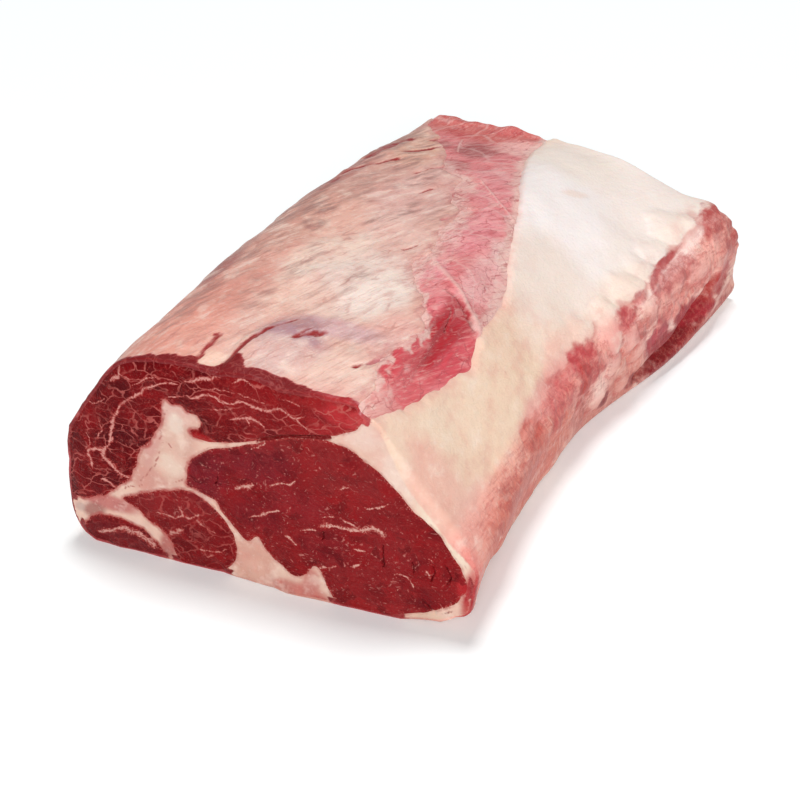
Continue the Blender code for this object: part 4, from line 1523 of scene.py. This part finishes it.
def cut_lean(spots, front, veins):
    """Veins on a muscle's front cut face, and its cracks and parting that get painted shade, from 0
    to 1.
    """
    blush = 0.5 * smooth(1.8, 0.0, reach(spots, front, closed=True))
    blush *= smooth(3.0, 5.0, reach(spots, front_outline, closed=True))
    vein = np.maximum(strokes(spots, veins), blush)
    crack = np.maximum(strokes(spots, CRACKS), strokes(spots, [(1.2, PARTING)], 0.0))
    return vein, crack


def make_muscle(name, material):
    """A muscle with both its cut faces, slimmer between them where it is hidden."""
    front, back, veins, base = MUSCLES[name]
    spots, triangles, _ = disc(front, [], LEAN_STEP)
    far_spots, far_triangles, _ = disc(back, [], BACK_STEP)
    face = front_face(spots)
    if name == "cap_muscle":
        face[:, 1] -= CAP_SWELL * smooth(0, 3, reach(spots, front, closed=True))
    walls = tunnel(front, back, MUSCLE_INSET)
    points = np.vstack([face, *walls, back_face(far_spots)])
    count = len(front)
    starts = [0] + [len(spots) + k * count for k in range(len(walls) + 1)]
    faces = [tuple(t) for t in triangles.tolist()]
    faces += tube_faces([np.arange(start, start + count) for start in starts])
    faces += [tuple(t[::-1]) for t in (far_triangles + starts[-1]).tolist()]
    hidden = len(points) - len(spots)
    vein, crack = cut_lean(spots, front, veins)
    values = {
        "tint": np.vstack((lean_colour(spots, base), np.tile(linear(base), (hidden, 1)))),
        "vein": np.concatenate((vein, np.zeros(hidden))),
        "crack": np.concatenate((crack, np.zeros(hidden))),
    }
    new_piece(name, points, faces, values, material, name)


def strip_grid():
    """Places in the plain skin where the bare strip lies, row by row from the front.

    Each has x, y, z, its rise, the direction out of the roast in x and z, and its depth.
    """
    left_y, left_x = np.array(STRIP_LEFT).T
    right_y, right_x = np.array(STRIP_RIGHT).T
    rows = []
    for depth in np.linspace(STRIP_END, LENGTH - STRIP_END, STRIP_ROWS):
        t = depth / LENGTH
        ring = ring_at(t)
        out = ring - inset(ring, 1.0)
        rise = rise_along(ring)
        solid = uneven(placed(ring, depth))
        top = slice(SHOULDER - 14, SHOULDER + 160)
        y = solid[SHOULDER + 60, 1]
        x = np.linspace(np.interp(y, left_y, left_x) - STRIP_LAP,
                        np.interp(y, right_y, right_x) + STRIP_LAP, STRIP_COLUMNS)
        columns = [x, front_y(x) * (1 - t) + LENGTH / 2 * t]
        for wanted in (solid[top, 2], rise[top], out[top, 0], out[top, 1]):
            columns.append(np.interp(x, solid[top, 0], wanted))
        rows.append(np.column_stack((*columns, np.full(len(x), depth))))
    return np.array(rows)


def sheet_faces(numbers):
    """Faces of a closed sheet: its top, its bottom numbered after the top, and its rim."""
    below = numbers.size
    faces = []
    for a, b, c, d in zip(numbers[:-1, :-1].ravel(), numbers[:-1, 1:].ravel(),
                          numbers[1:, 1:].ravel(), numbers[1:, :-1].ravel()):
        faces.append((a, b, c, d))
        faces.append((a + below, d + below, c + below, b + below))
    rim = np.concatenate((numbers[0], numbers[1:, -1], numbers[-1, -2::-1],
                          numbers[-2:0:-1, 0]))
    return faces + tube_faces([rim + below, rim])


def make_strip():
    """The bare lean along the top: a thin closed sheet whose borders run under the fat."""
    grid = strip_grid()
    flat = grid.reshape(-1, grid.shape[2])
    places, rise, depth = flat[:, :3], flat[:, 3], flat[:, 6]
    here = looks(places, rise, depth)
    out = in_space(flat[:, 4:6])
    lift = here["lean_relief"] - STRIP_SINK * smooth(0.5, 3.5, here["bare"])
    top = places + out * lift[:, None]
    bottom = places + out * (here["lean_relief"] - STRIP_THICKNESS)[:, None]
    faces = sheet_faces(np.arange(len(flat)).reshape(grid.shape[:2]))
    values = {"tint": np.tile(here["bare_tint"], (2, 1)), "sinew": np.tile(here["sinew"], 2),
              "calm": np.tile(here["calm"], 2)}
    new_piece("bare_strip", np.vstack((top, bottom)), faces, values, bare_material(),
              "cap_muscle")


make_fat()
make_muscle("cap_muscle", lean_material("beef_cap_lean", 6.5, 0.75, 0.3, "d08d84"))
make_muscle("eye_muscle", lean_material("beef_eye_lean", 5.0, 0.06, 0.85, "d59f93"))
make_muscle("inner_muscle", lean_material("beef_inner_lean", 6.0, 0.45, 0.6, "c88a80"))
make_muscle("rib_side_muscle", lean_material("beef_rib_side_lean", 5.0, 0.2, 0.4, "cf958b"))
make_strip()


# ---- floor, light and camera

CAMERA_AIM = (3.53, -56.45, 39.2)     # in the roast's own frame
CAMERA_DISTANCE = 1100.2
CAMERA_AZIMUTH = 25                   # degrees from the front face towards the right side
CAMERA_ELEVATION = 34
CAMERA_LENS = 94.5
FLOOR_HALF = 9.0                      # metres
LAMP_AIM = (0, 0, 0.05)
# Square soft lamps: (name, place in metres, side in metres, watts)
LAMPS = [("overhead", (-0.2, 0.8, 5.0), 1.3, 138), ("front", (1.58, -3.38, 2.52), 1.4, 124)]


def make_floor():
    """A plain pale floor, matt and faintly glowing so that its shadows stay light."""
    h = FLOOR_HALF
    mesh = bpy.data.meshes.new("floor")
    mesh.from_pydata([(-h, -h, 0), (h, -h, 0), (h, h, 0), (-h, h, 0)], [], [(0, 1, 2, 3)])
    floor = bpy.data.objects.new("floor", mesh)
    bpy.context.scene.collection.objects.link(floor)
    card = bpy.data.materials.new("matt_pale_card")
    card.use_nodes = True
    shader = card.node_tree.nodes["Principled BSDF"]
    shader.inputs["Base Color"].default_value = colour_of("f5f9f9")
    shader.inputs["Roughness"].default_value = 0.9
    shader.inputs["Emission Color"].default_value = (1, 1, 1, 1)
    shader.inputs["Emission Strength"].default_value = 0.09
    mesh.materials.append(card)


def make_light():
    """Soft lamps in a dim white room."""
    for name, place, side, watts in LAMPS:
        data = bpy.data.lights.new(name, "AREA")
        data.size = side
        data.energy = watts
        lamp = bpy.data.objects.new(name, data)
        lamp.location = place
        beam = Vector(LAMP_AIM) - Vector(place)
        lamp.rotation_euler = beam.to_track_quat("-Z", "Y").to_euler()
        bpy.context.scene.collection.objects.link(lamp)
    room = bpy.data.worlds.new("studio")
    room.use_nodes = True
    background = room.node_tree.nodes["Background"]
    background.inputs["Color"].default_value = (1, 1, 1, 1)
    background.inputs["Strength"].default_value = 0.20
    bpy.context.scene.world = room
    bpy.context.scene.view_settings.view_transform = "Standard"


def make_camera():
    """Seen from the front right and above."""
    azimuth, elevation = math.radians(CAMERA_AZIMUTH), math.radians(CAMERA_ELEVATION)
    away = Vector((math.sin(azimuth) * math.cos(elevation),
                   -math.cos(azimuth) * math.cos(elevation), math.sin(elevation)))
    camera = bpy.data.objects.new("camera", bpy.data.cameras.new("camera"))
    camera.data.lens = CAMERA_LENS
    camera.data.clip_end = 50
    camera.location = (Vector(CAMERA_AIM) + Vector(to_model) + away * CAMERA_DISTANCE) * MM
    camera.rotation_euler = (-away).to_track_quat("-Z", "Y").to_euler()
    bpy.context.scene.collection.objects.link(camera)
    bpy.context.scene.camera = camera


make_floor()
make_camera()
make_light()
